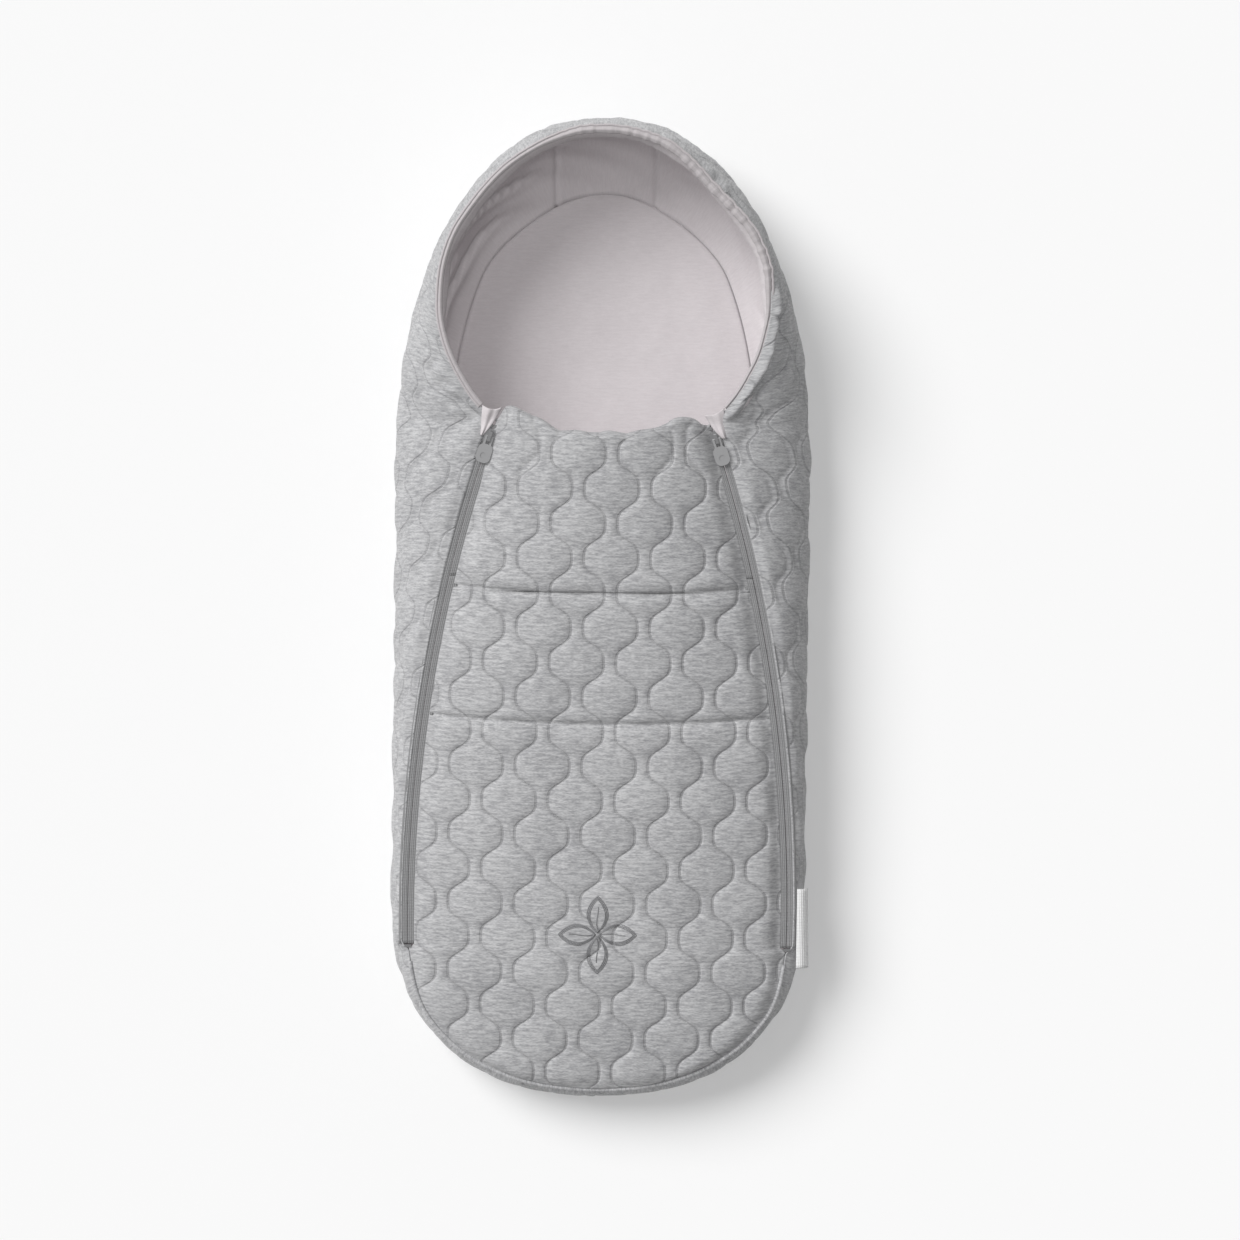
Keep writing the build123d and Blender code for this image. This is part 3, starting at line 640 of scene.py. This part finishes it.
def outer_shell():
    """Quilted outer fabric of both walls and the hood."""
    points = shell_loop(
        BACK_INSET, 0.0, 0.6 * MM, 0.0, 1.2 * MM, 0.6 * MM, FABRIC_TOP * 0.7, 12, 36
    )
    fabric, from_low = loop_fabric(points)
    across, along = fabric[..., 0], fabric[..., 1]
    normal = loop_normals(points)
    angle, at_rim = loop_rim_angle(len(points))
    fade = smooth(across, 0, 9 * MM) * smooth(from_low, 0, 18 * MM)
    plain_part = at_rim * smooth(angle, -40, 20) * (1 - smooth(angle, 165, 215))
    calm = 1 - 0.75 * plain_part * (1 - smooth(across, 18 * MM, 75 * MM))
    calm = calm * (0.65 + 0.35 * smooth(points[..., 2], 42 * MM, 70 * MM))
    lift = quilt(across + SHELL_SHIFT, along) * fade * calm
    lift += 1.0 * MM * soft_noise(across, along, 70 * MM, 11) * fade
    lift += 0.7 * MM * plain_part * soft_noise(across, along, 24 * MM, 15) * fade
    from_rim = smooth(across, 0, 4 * MM)
    gathered = smooth(angle, 15, 50) * (1 - smooth(angle, 95, 140)) * at_rim
    near_rim = 1 - smooth(across, 4 * MM, 26 * MM)
    puckers = soft_noise(across * 0.25, along, 17 * MM, 12, 2)
    lift += 1.3 * MM * gathered * near_rim * puckers * from_rim
    roll = (1 - smooth(angle, -8, 12)) * at_rim * smooth(angle, -50, -42)
    ridge = bell(across - 6 * MM, 4.6 * MM) - 1.1 * bell(across - 15.5 * MM, 2.4 * MM)
    folds = 1 + 0.30 * soft_noise(across * 0.4, along, 15 * MM, 13, 2)
    lift += 5.0 * MM * roll * ridge * folds
    left_end = smooth(angle, 195, 215) * at_rim * (1 - smooth(across, 10 * MM, 40 * MM))
    lift += 1.5 * MM * left_end * soft_noise(across, along, 16 * MM, 14, 2) * from_rim
    points = points + normal * lift[..., None]
    points[..., 2] = np.maximum(points[..., 2], LOWEST)
    return make_grid("shell_fabric", points, fabric, OUTER, OUTER_THICKNESS, closed=True)


FACING_DEPTH = 14 * MM         # width of the facing that is topstitched inside the rim
# creases of the hood's lining, in metres: place past the hood's middle, place below the rim, slope,
# half length and depth
CREASES = (
    (0.105, 0.046, -0.22, 0.085, 0.0040),
    (0.150, 0.058, -0.30, 0.095, 0.0045),
    (0.185, 0.075, -0.26, 0.090, 0.0042),
    (0.235, 0.052, -0.20, 0.080, 0.0045),
    (0.260, 0.070, -0.12, 0.070, 0.0038),
    (-0.120, 0.060, 0.30, 0.060, 0.0014),
    (-0.200, 0.050, 0.25, 0.070, 0.0016),
    (-0.255, 0.072, 0.18, 0.060, 0.0016),
)


def lining_shell():
    """Creased lining of the walls and hood, with a topstitched facing at the rim and two seams."""
    points = shell_loop(
        lining_inset(), SHELL_DEPTH, 4 * MM, 1.2 * MM, 1.0 * MM, SHELL_DEPTH, -1.6 * MM, 20, 46
    )
    fabric, from_low = loop_fabric(points)
    across, along = fabric[..., 0], fabric[..., 1]
    normal = loop_normals(points)
    fade = smooth(across, 0, 8 * MM) * smooth(from_low, 0, 6 * MM)
    waves = soft_noise(across + 0.35 * along, along * 0.22, 34 * MM, 21, 2)
    lift = 1.6 * MM * waves * fade
    for start, height, slope, length, depth in CREASES:
        away = along - (LOOP_LENGTH / 2 + start)
        line = across - height - slope * away + 2.5 * MM * np.sin(away * 40 + start * 90)
        window = smooth(away, -length, -length * 0.5) * (1 - smooth(away, length * 0.5, length))
        lift -= depth * window * fade * bell(line, 1.5 * MM)
        lift += 0.5 * depth * window * fade * bell(line - 5 * MM, 4 * MM)
    below = across - FACING_DEPTH
    stitch = bell(below, 1.2 * MM) + 0.4 * bell(below, 4 * MM)
    pucker = 1 + 0.5 * soft_noise(across * 0.2, along, 9 * MM, 23, 1)
    lift -= 1.9 * MM * stitch * pucker * smooth(points[..., 1], 0.14, 0.17)
    hood = smooth(points[..., 1], HOOD_PANEL_Y, HOOD_PANEL_Y + 15 * MM)
    seam = bell(np.abs(points[..., 0]) - HOOD_PANEL_HALF, 1.5 * MM)
    lift -= 2.4 * MM * seam * hood * smooth(across, 9 * MM, 12 * MM)
    points = points - normal * lift[..., None]
    to_middle = np.array([0, RIM_Y]) - points[..., :2]
    to_middle /= np.linalg.norm(to_middle, axis=-1, keepdims=True)
    facing = 6.5 * MM * bell(across - 0.62 * FACING_DEPTH, 0.55 * FACING_DEPTH) * (1 + 0.12 * pucker)
    facing = facing * smooth(points[..., 1], 0.15, 0.20) * smooth(across, 0, 3 * MM)
    points[..., :2] += to_middle * facing[..., None]
    count = len(points)
    join = ZIP_LAST + 1
    return {
        "right_wall": lining_part("right_wall_lining_cloth", points, fabric, 0, join),
        "hood": lining_part("hood_lining_cloth", points, fabric, join, count - join),
        "left_wall": lining_part("left_wall_lining_cloth", points, fabric, count - join, count),
    }


# ---- flat panels built in rows
def row_grid(v_low, v_high, half_of, rows, columns):
    """Across and along coordinates of a grid in rows, and each point's share of the half width."""
    v = np.linspace(v_low, v_high, rows)
    share = np.linspace(-1, 1, columns)
    share = np.sin(share * pi / 2) * 0.35 + share * 0.65
    half = half_of(v)
    across = half[:, None] * share[None, :]
    along = np.repeat(v[:, None], columns, 1)
    return across, along, np.repeat(share[None, :], rows, 0)


def back_outer():
    """Quilted underside, whose puffs stand on the floor."""
    low = -LENGTH / 2 + BACK_INSET
    end = 0.05 * MM
    across, along, share = row_grid(
        low + end, -low - end, lambda y: outline_half(y, BACK_INSET) + 0.2 * MM, 280, 96
    )
    edge = (1 - np.abs(share)) * outline_half(along, BACK_INSET)
    near_edge = np.minimum(edge, np.minimum(along - low, -low - along))
    fade = smooth(near_edge, 0, 9 * MM)
    relief = quilt(across + BACK_SHIFT, along)
    hollow = 3.6 * MM * (1 - np.clip(relief / (3.2 * MM), 0, 1) * fade)
    z = hollow * smooth(near_edge, -1 * MM, 5 * MM) + 0.5 * MM
    points = np.stack([across, along, z], axis=-1)
    fabric = np.stack([across + BACK_SHIFT, along], axis=-1)
    return make_grid("back_fabric", points, fabric, OUTER, OUTER_THICKNESS)


def back_inner():
    """Soft flat lining above the back's wadding."""
    rows, columns = 330, 84
    seam = resample(outline_at(STATIONS, lining_inset()), rows)
    share = np.linspace(-1, 1, columns)[None, :] * np.ones((rows, 1))
    across = (seam[:, :1] + 0.4 * MM) * share
    along = seam[:, 1:] * np.ones((1, columns))
    to_end = np.minimum(along - seam[0, 1], seam[-1, 1] - along)
    near_edge = np.minimum((1 - np.abs(share)) * seam[:, :1], to_end)
    soft = smooth(near_edge, 0, 30 * MM)
    z = SHELL_DEPTH + soft * (2.2 * MM + 0.9 * MM * soft_noise(across, along, 110 * MM, 31))
    z = z - 1.2 * MM * (1 - smooth(near_edge, 0, 4 * MM))
    points = np.stack([across, along, z], axis=-1)
    fabric = np.stack([across, along], -1)
    return make_grid("back_lining_cloth", points, fabric, LINING, LINING_THICKNESS, flip=True)


def cover_half(v):
    """Half width of the cover's fabric: between the zips, and round the foot inside the edge seam."""
    at_zip = zip_half(v) - slot_half(v)
    at_foot = outline_half(v, foot_inset(v) + 1.2 * MM)
    share = smooth(v, ZIP_END - SLOT_END - 4 * MM, ZIP_END - SLOT_END + 3 * MM)
    return np.minimum(at_foot, at_zip * share + at_foot * (1 - share))


CROWNS = (3 * MM, 16 * MM, 20 * MM)      # at the foot, at the cover's fold and at the top of the zips
FOOT_END_INSET = float(foot_inset(-LENGTH / 2))


def crown(v):
    """Rise of the cover's middle above its edges."""
    return np.interp(v, [-LENGTH / 2 + FOOT_END_INSET, COVER_FOLD, ZIP_TOP], CROWNS)


def cover_top(across, along):
    """Height of the cover's fabric above the zip plane."""
    half = np.maximum(cover_half(along), 1e-4)
    share = np.clip(np.abs(across) / half, 0, 1)
    side = half - np.abs(across)
    foot = along + LENGTH / 2 - FOOT_END_INSET
    rim = np.minimum(side, foot)
    height = FABRIC_TOP - 1.0 * MM + crown(along) * (1 - share**2.3)
    height += 3.0 * MM * smooth(rim, 1 * MM, 16 * MM)
    height = height * smooth(foot, -14 * MM, 10 * MM) ** 0.5
    fade = smooth(rim, 0, 10 * MM)
    sag = SEAM_SAG * share**2
    seams = 0
    for place in (UPPER_SEAM, MIDDLE_SEAM):
        distance = along - sag - place
        seams = seams + 0.75 * bell(distance, 1.3 * MM) + 0.5 * bell(distance, 5.0 * MM)
    puffs = quilt(across + COVER_SHIFT[0], along + COVER_SHIFT[1]) * fade * (1 - 0.8 * np.clip(seams, 0, 1))
    waves = 0.8 * MM * soft_noise(across, along, 90 * MM, 41) * fade
    height += puffs + waves
    return height - 2.1 * MM * seams * smooth(rim, -1 * MM, 5 * MM)


def cover_bottom(across, along):
    """Height of the cover's lining above the zip plane."""
    half = np.maximum(cover_half(along), 1e-4)
    share = np.clip(np.abs(across) / half, 0, 1)
    rise = np.maximum(crown(along) - 6.1 * MM, 0.5 * MM)
    waves = 0.5 * MM * soft_noise(across, along, 60 * MM, 51)
    return -2.4 * MM + rise * (1 - share**2) + waves * (1 - share**6)


# by side: how high a corner of the flap stands, and how far out it is full
EARS = {-1: (19.5 * MM, 74 * MM), 1: (13.5 * MM, 68 * MM)}
EAR_START = 24 * MM
TOP_EDGE = ZIP_TOP - 9 * MM


def flap_stretch(across, along):
    """Moves the flap's upper rows so that its two corners stand up beside the zips."""
    ear = 0
    for side, (height, full) in EARS.items():
        one = height * smooth(side * across, EAR_START, full)
        ear = ear + one * (1 - 0.4 * smooth(side * across, full, full + 9 * MM))
    scallops = 0.8 * MM * np.sin(2 * pi * across / (PUFF_WIDTH / 2) + 0.6)
    return along + (ear + scallops) * smooth(along, TOP_EDGE - 45 * MM, TOP_EDGE)


def rolled_top(sheet, cloth, thick):
    """The flap's upper rows with its cloth rolled over a thickness of wadding."""
    rows, cloth_rows = [], []
    for turn in np.linspace(0, pi, 9)[1:]:
        out = 0.75 * thick * sin(turn)
        drop = thick * (1 - cos(turn))
        rows.append(sheet[-1] + np.stack([0 * out, out, -drop], -1))
        cloth_rows.append(np.stack([cloth[-1, :, 0], cloth[-1, :, 1] + thick * turn], -1))
    return np.concatenate([sheet, np.stack(rows)]), np.concatenate([cloth, np.stack(cloth_rows)])


def turned_side(sheet, cloth, column, sign):
    """Three columns that turn a cover's cloth down at a side, from its edge outwards."""
    points, fabric = [], []
    for inwards, drop in ((-0.35, 0.7), (0.1, 1.5), (1.0, 2.2)):
        moved = sheet[:, column].copy()
        moved[:, 0] -= sign * inwards * MM
        moved[:, 2] -= drop * MM
        points.append(moved)
        shifted = cloth[:, column].copy()
        shifted[:, 0] += sign * drop * MM
        fabric.append(shifted)
    return points, fabric


def cover_piece(name, v_low, v_high, rows, columns, with_top_edge=False):
    """Quilted fabric of part of the cover, turned down at its edges, and the lining under it."""
    across, along, _ = row_grid(v_low, v_high, cover_half, rows, columns)
    height = cover_top(across, along)
    under = cover_bottom(across, along)
    placed = flap_stretch(across, along) if with_top_edge else along
    sheet = np.stack([across, placed, height], -1)
    cloth = np.stack([across + COVER_SHIFT[0], placed + COVER_SHIFT[1]], -1)
    if with_top_edge:
        sheet, cloth = rolled_top(sheet, cloth, np.maximum(height[-1] - under[-1], 2.4 * MM) / 2)
    left, left_cloth = turned_side(sheet, cloth, 0, -1)
    right, right_cloth = turned_side(sheet, cloth, -1, 1)
    sheet = np.concatenate([np.stack(left[::-1], 1), sheet, np.stack(right, 1)], axis=1)
    cloth = np.concatenate([np.stack(left_cloth[::-1], 1), cloth, np.stack(right_cloth, 1)], axis=1)
    points = from_zip_plane(sheet[..., 0], sheet[..., 1], sheet[..., 2])
    outer = make_grid(name + "_fabric", points, cloth, OUTER, OUTER_THICKNESS, flip=True)
    inner = from_zip_plane(across, placed, under)
    flat = np.stack([across, placed], -1)
    lining = make_grid(name + "_lining_cloth", inner, flat, LINING, LINING_THICKNESS)
    return outer, lining


# ---- trims
def zip_strip(name, near, far, v_low, v_high, side):
    """Strip of tape between two distances outside a zip's middle; negative is on the cover's side."""
    v = np.linspace(v_low, v_high, max(int((v_high - v_low) / (3 * MM)), 4))
    offsets = np.linspace(near, far, 7)
    across = side * (zip_half(v)[:, None] + offsets[None, :])
    along = np.repeat(v[:, None], 7, 1)
    lift = TAPE_THICKNESS + 0.25 * MM * soft_noise(across, along, 22 * MM, 61, 1)
    points = from_zip_plane(across, along, lift)
    fabric = np.stack([np.repeat(offsets[None, :], len(v), 0), along], -1)
    return make_grid(name, points, fabric, TAPE, TAPE_THICKNESS, flip=(side > 0) == (far > near))


def zip_coil(name, reach, v_low, v_high, side):
    """Row of coil teeth under a tape; reach is positive on the wall's side."""
    turns = (v_high - v_low) / (1.5 * MM)
    steps = int(turns * 8)
    turn = np.linspace(0, 2 * pi * turns, steps)
    v = np.linspace(v_low, v_high, steps)
    offset = reach * (1.75 * MM + 0.85 * MM * np.cos(turn))
    height = -1.25 * MM + 0.7 * MM * np.sin(turn)
    path = from_zip_plane(side * (zip_half(v) + offset), v, height)
    return tube(name, path, np.full(steps, 0.33 * MM), COIL, sides=5)


def rim_binding():
    """Binding round the head opening, gathered where it runs over the top and down the right."""
    gap = 17 * MM / RIM_RADIUS
    angle = np.linspace(-RIM_END_ANGLE + gap, pi + RIM_END_ANGLE - gap, 640)
    degrees = np.degrees(angle)
    wide = smooth(degrees, -12, 8) * (1 - smooth(degrees, 96, 118))
    hidden = 1 - smooth(degrees, -10, 8)
    radius = 1.9 * MM + 1.0 * MM * wide - 0.5 * MM * hidden
    arc = angle * RIM_RADIUS
    gathers = soft_noise(arc, arc * 0, 8 * MM, 71, 3)
    radius = radius * (1 + (0.07 + 0.20 * wide) * gathers)
    wander = 0.8 * MM * soft_noise(arc, arc * 0, 60 * MM, 72, 2)
    ring = rim_reach(angle) + wander
    edge = ring + radius + 0.7 * MM
    piping = tube(
        "rim_binding_edge",
        from_zip_plane(edge * np.cos(angle), RIM_Y + edge * np.sin(angle), 0.9 * MM - 1.6 * MM * hidden),
        1.0 * MM * (1 + 0.15 * np.roll(gathers, 3)),
        BINDING_PAINTED_SHADE,
        sides=10,
    )
    height = 0.6 * MM + 0.5 * wander - 1.2 * MM * hidden
    path = from_zip_plane(ring * np.cos(angle), RIM_Y + ring * np.sin(angle), height)
    sides = 18
    binding = tube("rim_binding_cloth", path, radius, BINDING_PAINTED_SHADE, sides)
    points = np.array([v.co[:] for v in binding.data.vertices]).reshape(len(path), sides, 3)
    centre = path[:, None]
    turn = np.linspace(0, 2 * pi, sides, endpoint=False)
    groove = 1 - 0.2 * bell(turn - 0.9, 0.3) - 0.2 * bell(turn - 2.2, 0.3)
    points = centre + (points - centre) * groove[None, :, None]
    binding.data.vertices.foreach_set("co", points.astype(np.float32).ravel())
    binding.data.update()
    return join_pieces("rim_binding_cloth", [binding, piping])


def foot_seam():
    """Piped seam round the foot's upper edge."""
    turn = np.linspace(0, pi, 260)
    _, y = end_point(turn, FOOT_SEAM_INSET, False)
    x, y = end_point(turn, foot_inset(y) + 0.4 * MM, False)
    inside = y < ZIP_END - SLOT_END - 8 * MM
    path = resample(from_zip_plane(x[inside], y[inside], 1.2 * MM), 240)
    return tube("foot_piping_cloth", path, np.full(240, 1.5 * MM), PLAIN_OUTER, sides=10)


def garage(side):
    """Folded triangle of lining over the top end of a zip, whose tip points down beside the slider."""
    outer_top = np.array([zip_half(ZIP_TOP) + 9 * MM, ZIP_TOP + 15 * MM])
    inner_top = np.array([zip_half(ZIP_TOP) - 6 * MM, ZIP_TOP + (13 if side < 0 else 9) * MM])
    tip = np.array([zip_half(ZIP_TOP) + 10.5 * MM, ZIP_TOP - 8 * MM])
    rows, columns = 26, 16
    down = np.linspace(0, 1, rows)[:, None]
    over = np.linspace(0, 1, columns)[None, :]
    narrow = (1 - down) ** 0.8 * 0.84 + 0.16
    start = outer_top + (tip - outer_top) * down[..., None]
    reach = (inner_top - outer_top) * narrow[..., None]
    flat = start + reach * over[..., None]
    flat[..., 1] -= 2.0 * MM * np.sin(pi * over) * (1 - down)
    fold = 0.8 * MM * bell(over - 0.35, 0.16) - 0.7 * MM * bell(over - 0.62, 0.12)
    waves = 0.5 * MM * np.sin(7 * down + 3 * over)
    height = 2.7 * MM + 1.3 * MM * np.sin(pi * over) ** 0.7 + fold + waves
    height -= 1.0 * MM * down
    points = from_zip_plane(side * flat[..., 0], flat[..., 1], height)
    fabric = np.stack([over * 15 * MM * narrow, down * 24 * MM + 0 * over], -1)
    name = ("right" if side > 0 else "left") + "_zip_garage_cloth"
    return make_grid(name, points, fabric, LINING, GARAGE_THICKNESS, flip=side > 0)


def label():
    """Blank woven label caught in the right-hand seam, lying out over the wall's edge."""
    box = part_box("label")
    rows, columns = 26, 10
    y = np.linspace(box[0].y, box[1].y, rows)[:, None]
    out = np.linspace(0, 1, columns)[None, :]
    reach = 10.0 * MM - 1.5 * MM * (y - box[0].y) / (box[1].y - box[0].y)
    x = box[0].x + 2.2 * MM + reach * out
    v = y / cos(TILT) + 0 * out
    height = 2.6 * MM + 1.5 * MM * np.sin(out * pi * 0.8) - 6.0 * MM * out**2.4
    height = height + 0.3 * MM * np.sin(y * 130)
    points = from_zip_plane(x, v, height)
    fabric = np.stack([reach * out, v], -1)
    return make_grid("label_cloth", points, fabric, LABEL, LABEL_THICKNESS, flip=True)


def motif():
    """Embroidered emblem of four leaves, each outlined by three rows of thread with a vein."""
    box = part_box("motif")
    centre_y = (box[0].y + box[1].y) / 2 / cos(TILT)
    reach = (box[1].x - box[0].x) / 2
    pieces = []
    for leaf in range(4):
        turn = leaf * pi / 2
        for row in range(4):
            t = np.linspace(0, 1, 90)
            is_vein = row == 3
            if not is_vein:
                swell = (0.27 - 0.035 * row) * reach
                way = np.concatenate([t, t[::-1]])
                side = np.concatenate([np.ones(90), -np.ones(90)])
                sideways = side * swell * np.sin(pi * way) ** 0.8
                outwards = (0.05 + 0.01 * row + (0.95 - 0.05 * row) * way) * reach
            else:
                outwards = (0.12 + 0.6 * t) * reach
                sideways = 0.02 * reach * np.sin(5 * t)
            x = outwards * cos(turn) - sideways * sin(turn)
            y = centre_y + outwards * sin(turn) + sideways * cos(turn)
            path = from_zip_plane(x, y, cover_top(x, y) + 0.25 * MM)
            path = resample(path, 120)
            radii = 0.36 * MM * (1 + 0.18 * np.sin(np.arange(120) * 2.1))
            pieces.append(tube(f"motif_thread_{leaf}_{row}", path, radii, THREAD, sides=6))
    return join_pieces("motif_embroidery", pieces)


def join_pieces(name, pieces):
    """One object from several."""
    with bpy.context.temp_override(
        active_object=pieces[0], object=pieces[0], selected_objects=pieces, selected_editable_objects=pieces
    ):
        bpy.ops.object.join()
    pieces[0].name = name
    return pieces[0]


# ---- assembly
shell_fabric = outer_shell()
linings = lining_shell()
back_fabric = back_outer()
back_lining = back_inner()
main_fabric, main_lining = cover_piece(
    "cover_main", -LENGTH / 2 + FOOT_END_INSET + 1.4 * MM, PANEL_JOIN, 276, 158
)
flap_fabric, flap_lining = cover_piece("cover_flap", PANEL_JOIN, TOP_EDGE, 88, 128, with_top_edge=True)
binding = rim_binding()
foot_piping = foot_seam()
emblem = motif()
label_cloth = label()
garages = {side: garage(sign) for side, sign in (("left", -1), ("right", 1))}

SHELL, COVER, FLAP = "shell", "cover", "flap"


def at(v):
    """Point on the cover's middle line in the part's frame."""
    return Vector(from_zip_plane(0.0, v, 0.0).tolist())


def dress(piece, slot, body, *nodes):
    """Let a piece stand for CAD nodes, on a body; its material slot is not used."""
    if body:
        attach(piece, body)
    if nodes:
        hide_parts(*nodes)


dress(
    shell_fabric, "outer_jersey", SHELL, "left_wall_outer", "left_wall_wadding", "right_wall_outer",
    "right_wall_wadding", "hood_outer", "hood_left_wadding", "hood_centre_wadding", "hood_right_wadding",
)
dress(linings["hood"], "lining_jersey", SHELL, "hood_left_lining", "hood_centre_lining", "hood_right_lining")
dress(back_fabric, "outer_jersey", SHELL, "back_outer", "back_wadding")
dress(back_lining, "lining_jersey", SHELL, "back_lining")
dress(binding, "lining_jersey", SHELL, "rim_binding", "rim_elastic")
dress(foot_piping, "outer_jersey", SHELL, "foot_piping")
dress(label_cloth, "label_tape", SHELL, "label")
for side in garages:
    dress(linings[f"{side}_wall"], "lining_jersey", SHELL, f"{side}_wall_lining")
    dress(garages[side], "lining_jersey", SHELL, f"{side}_zip_garage")


fold_start, fold_end = at(COVER_FOLD - FOLD_REACH), at(COVER_FOLD + FOLD_REACH)
flap_start, flap_end = at(FLAP_FOLD - 10 * MM), at(FLAP_FOLD + 12 * MM)
dress(
    main_fabric, "outer_jersey", None, "cover_middle_outer", "cover_lower_outer", "cover_main_wadding",
    "foot_panel_outer", "foot_panel_wadding",
)
dress(main_lining, "lining_jersey", None, "cover_main_lining", "foot_panel_lining")
dress(emblem, "embroidery", None, "motif")
for piece in (main_fabric, main_lining, emblem):
    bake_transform(piece)
dress(flap_fabric, "outer_jersey", None, "cover_upper_outer", "cover_upper_wadding")
dress(flap_lining, "lining_jersey", None, "cover_upper_lining")
for piece in (flap_fabric, flap_lining):
    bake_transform(piece)

for side, sign in (("left", -1), ("right", 1)):
    wall = zip_strip(f"{side}_wall_tape_cloth", 0.12 * MM, 7 * MM, ZIP_END, ZIP_TOP, sign)
    dress(wall, "zip_tape", SHELL, f"{side}_wall_tape")
    teeth = zip_coil(f"{side}_wall_coil_teeth", 1, ZIP_END, ZIP_TOP, sign)
    dress(teeth, "zip_coil", SHELL, f"{side}_wall_coil")
    tape_start = ZIP_END
    for part, body in (("main", COVER), ("upper", FLAP)):
        tape_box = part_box(f"{side}_{part}_tape")
        low = max(to_zip_plane(tape_box[0])[1] + 0.4 * MM, ZIP_END)
        high = min(to_zip_plane(tape_box[1])[1], ZIP_TOP)
        first = low if part == "main" else tape_start
        tape_start = high
        strip = zip_strip(f"{side}_{part}_tape_cloth", -0.12 * MM, -8 * MM, first, high, sign)
        dress(strip, "zip_tape", COVER if part == "main" else None, f"{side}_{part}_tape")
        if part == "upper":
            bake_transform(strip)
        teeth = zip_coil(f"{side}_{part}_coil_teeth", -1, low, high, sign)
        dress(teeth, "zip_coil", body, f"{side}_{part}_coil")

for node, material in (
    ("left_slider", METAL), ("right_slider", METAL), ("left_pull", PULL), ("right_pull", PULL),
    ("wall_top_stops", METAL), ("cover_top_stops", METAL), ("bottom_stops", METAL),
):
    piece = frame["nodes"][node]
    piece.data.materials.clear()
    piece.data.materials.append(material)

# ---- floor, light and camera
bpy.ops.mesh.primitive_plane_add(size=12, location=(0, 0, 0))
floor = bpy.context.object
floor.name = "floor"
floor_material, _, floor_shader = new_material("floor_paint")
settings(floor_shader, Base_Color=(0.868, 0.868, 0.868, 1), Roughness=0.9)
floor.data.materials.append(floor_material)


def sun_light(name, towards, strength, softness, shadows):
    """Distant lamp that shines in a direction, softened over an angle in degrees."""
    lamp = bpy.data.lights.new(name, "SUN")
    lamp.energy = strength
    lamp.angle = radians(softness)
    lamp.use_shadow = shadows
    link(name, lamp).rotation_euler = Vector(towards).to_track_quat("-Z", "Y").to_euler()


sun_light("key", (0.57, -0.48, -0.67), 2.45, 34, True)
sun_light("overhead", (0.35, -0.20, -0.92), 1.03, 30, False)
world = bpy.data.worlds.new("soft_room")
world.use_nodes = True
settings(world.node_tree.nodes["Background"], Color=(1, 1, 1, 1), Strength=0.27)
bpy.context.scene.world = world
bpy.context.scene.view_settings.view_transform = "Standard"

camera = bpy.data.cameras.new("camera")
camera.sensor_width = 36
camera.lens = 110.9
camera.clip_end = 30
viewer = link("camera", camera)
viewer.location = (0.0147, -0.008, 3.018)
viewer.rotation_euler = (0, 0, radians(0.67))
bpy.context.scene.camera = viewer
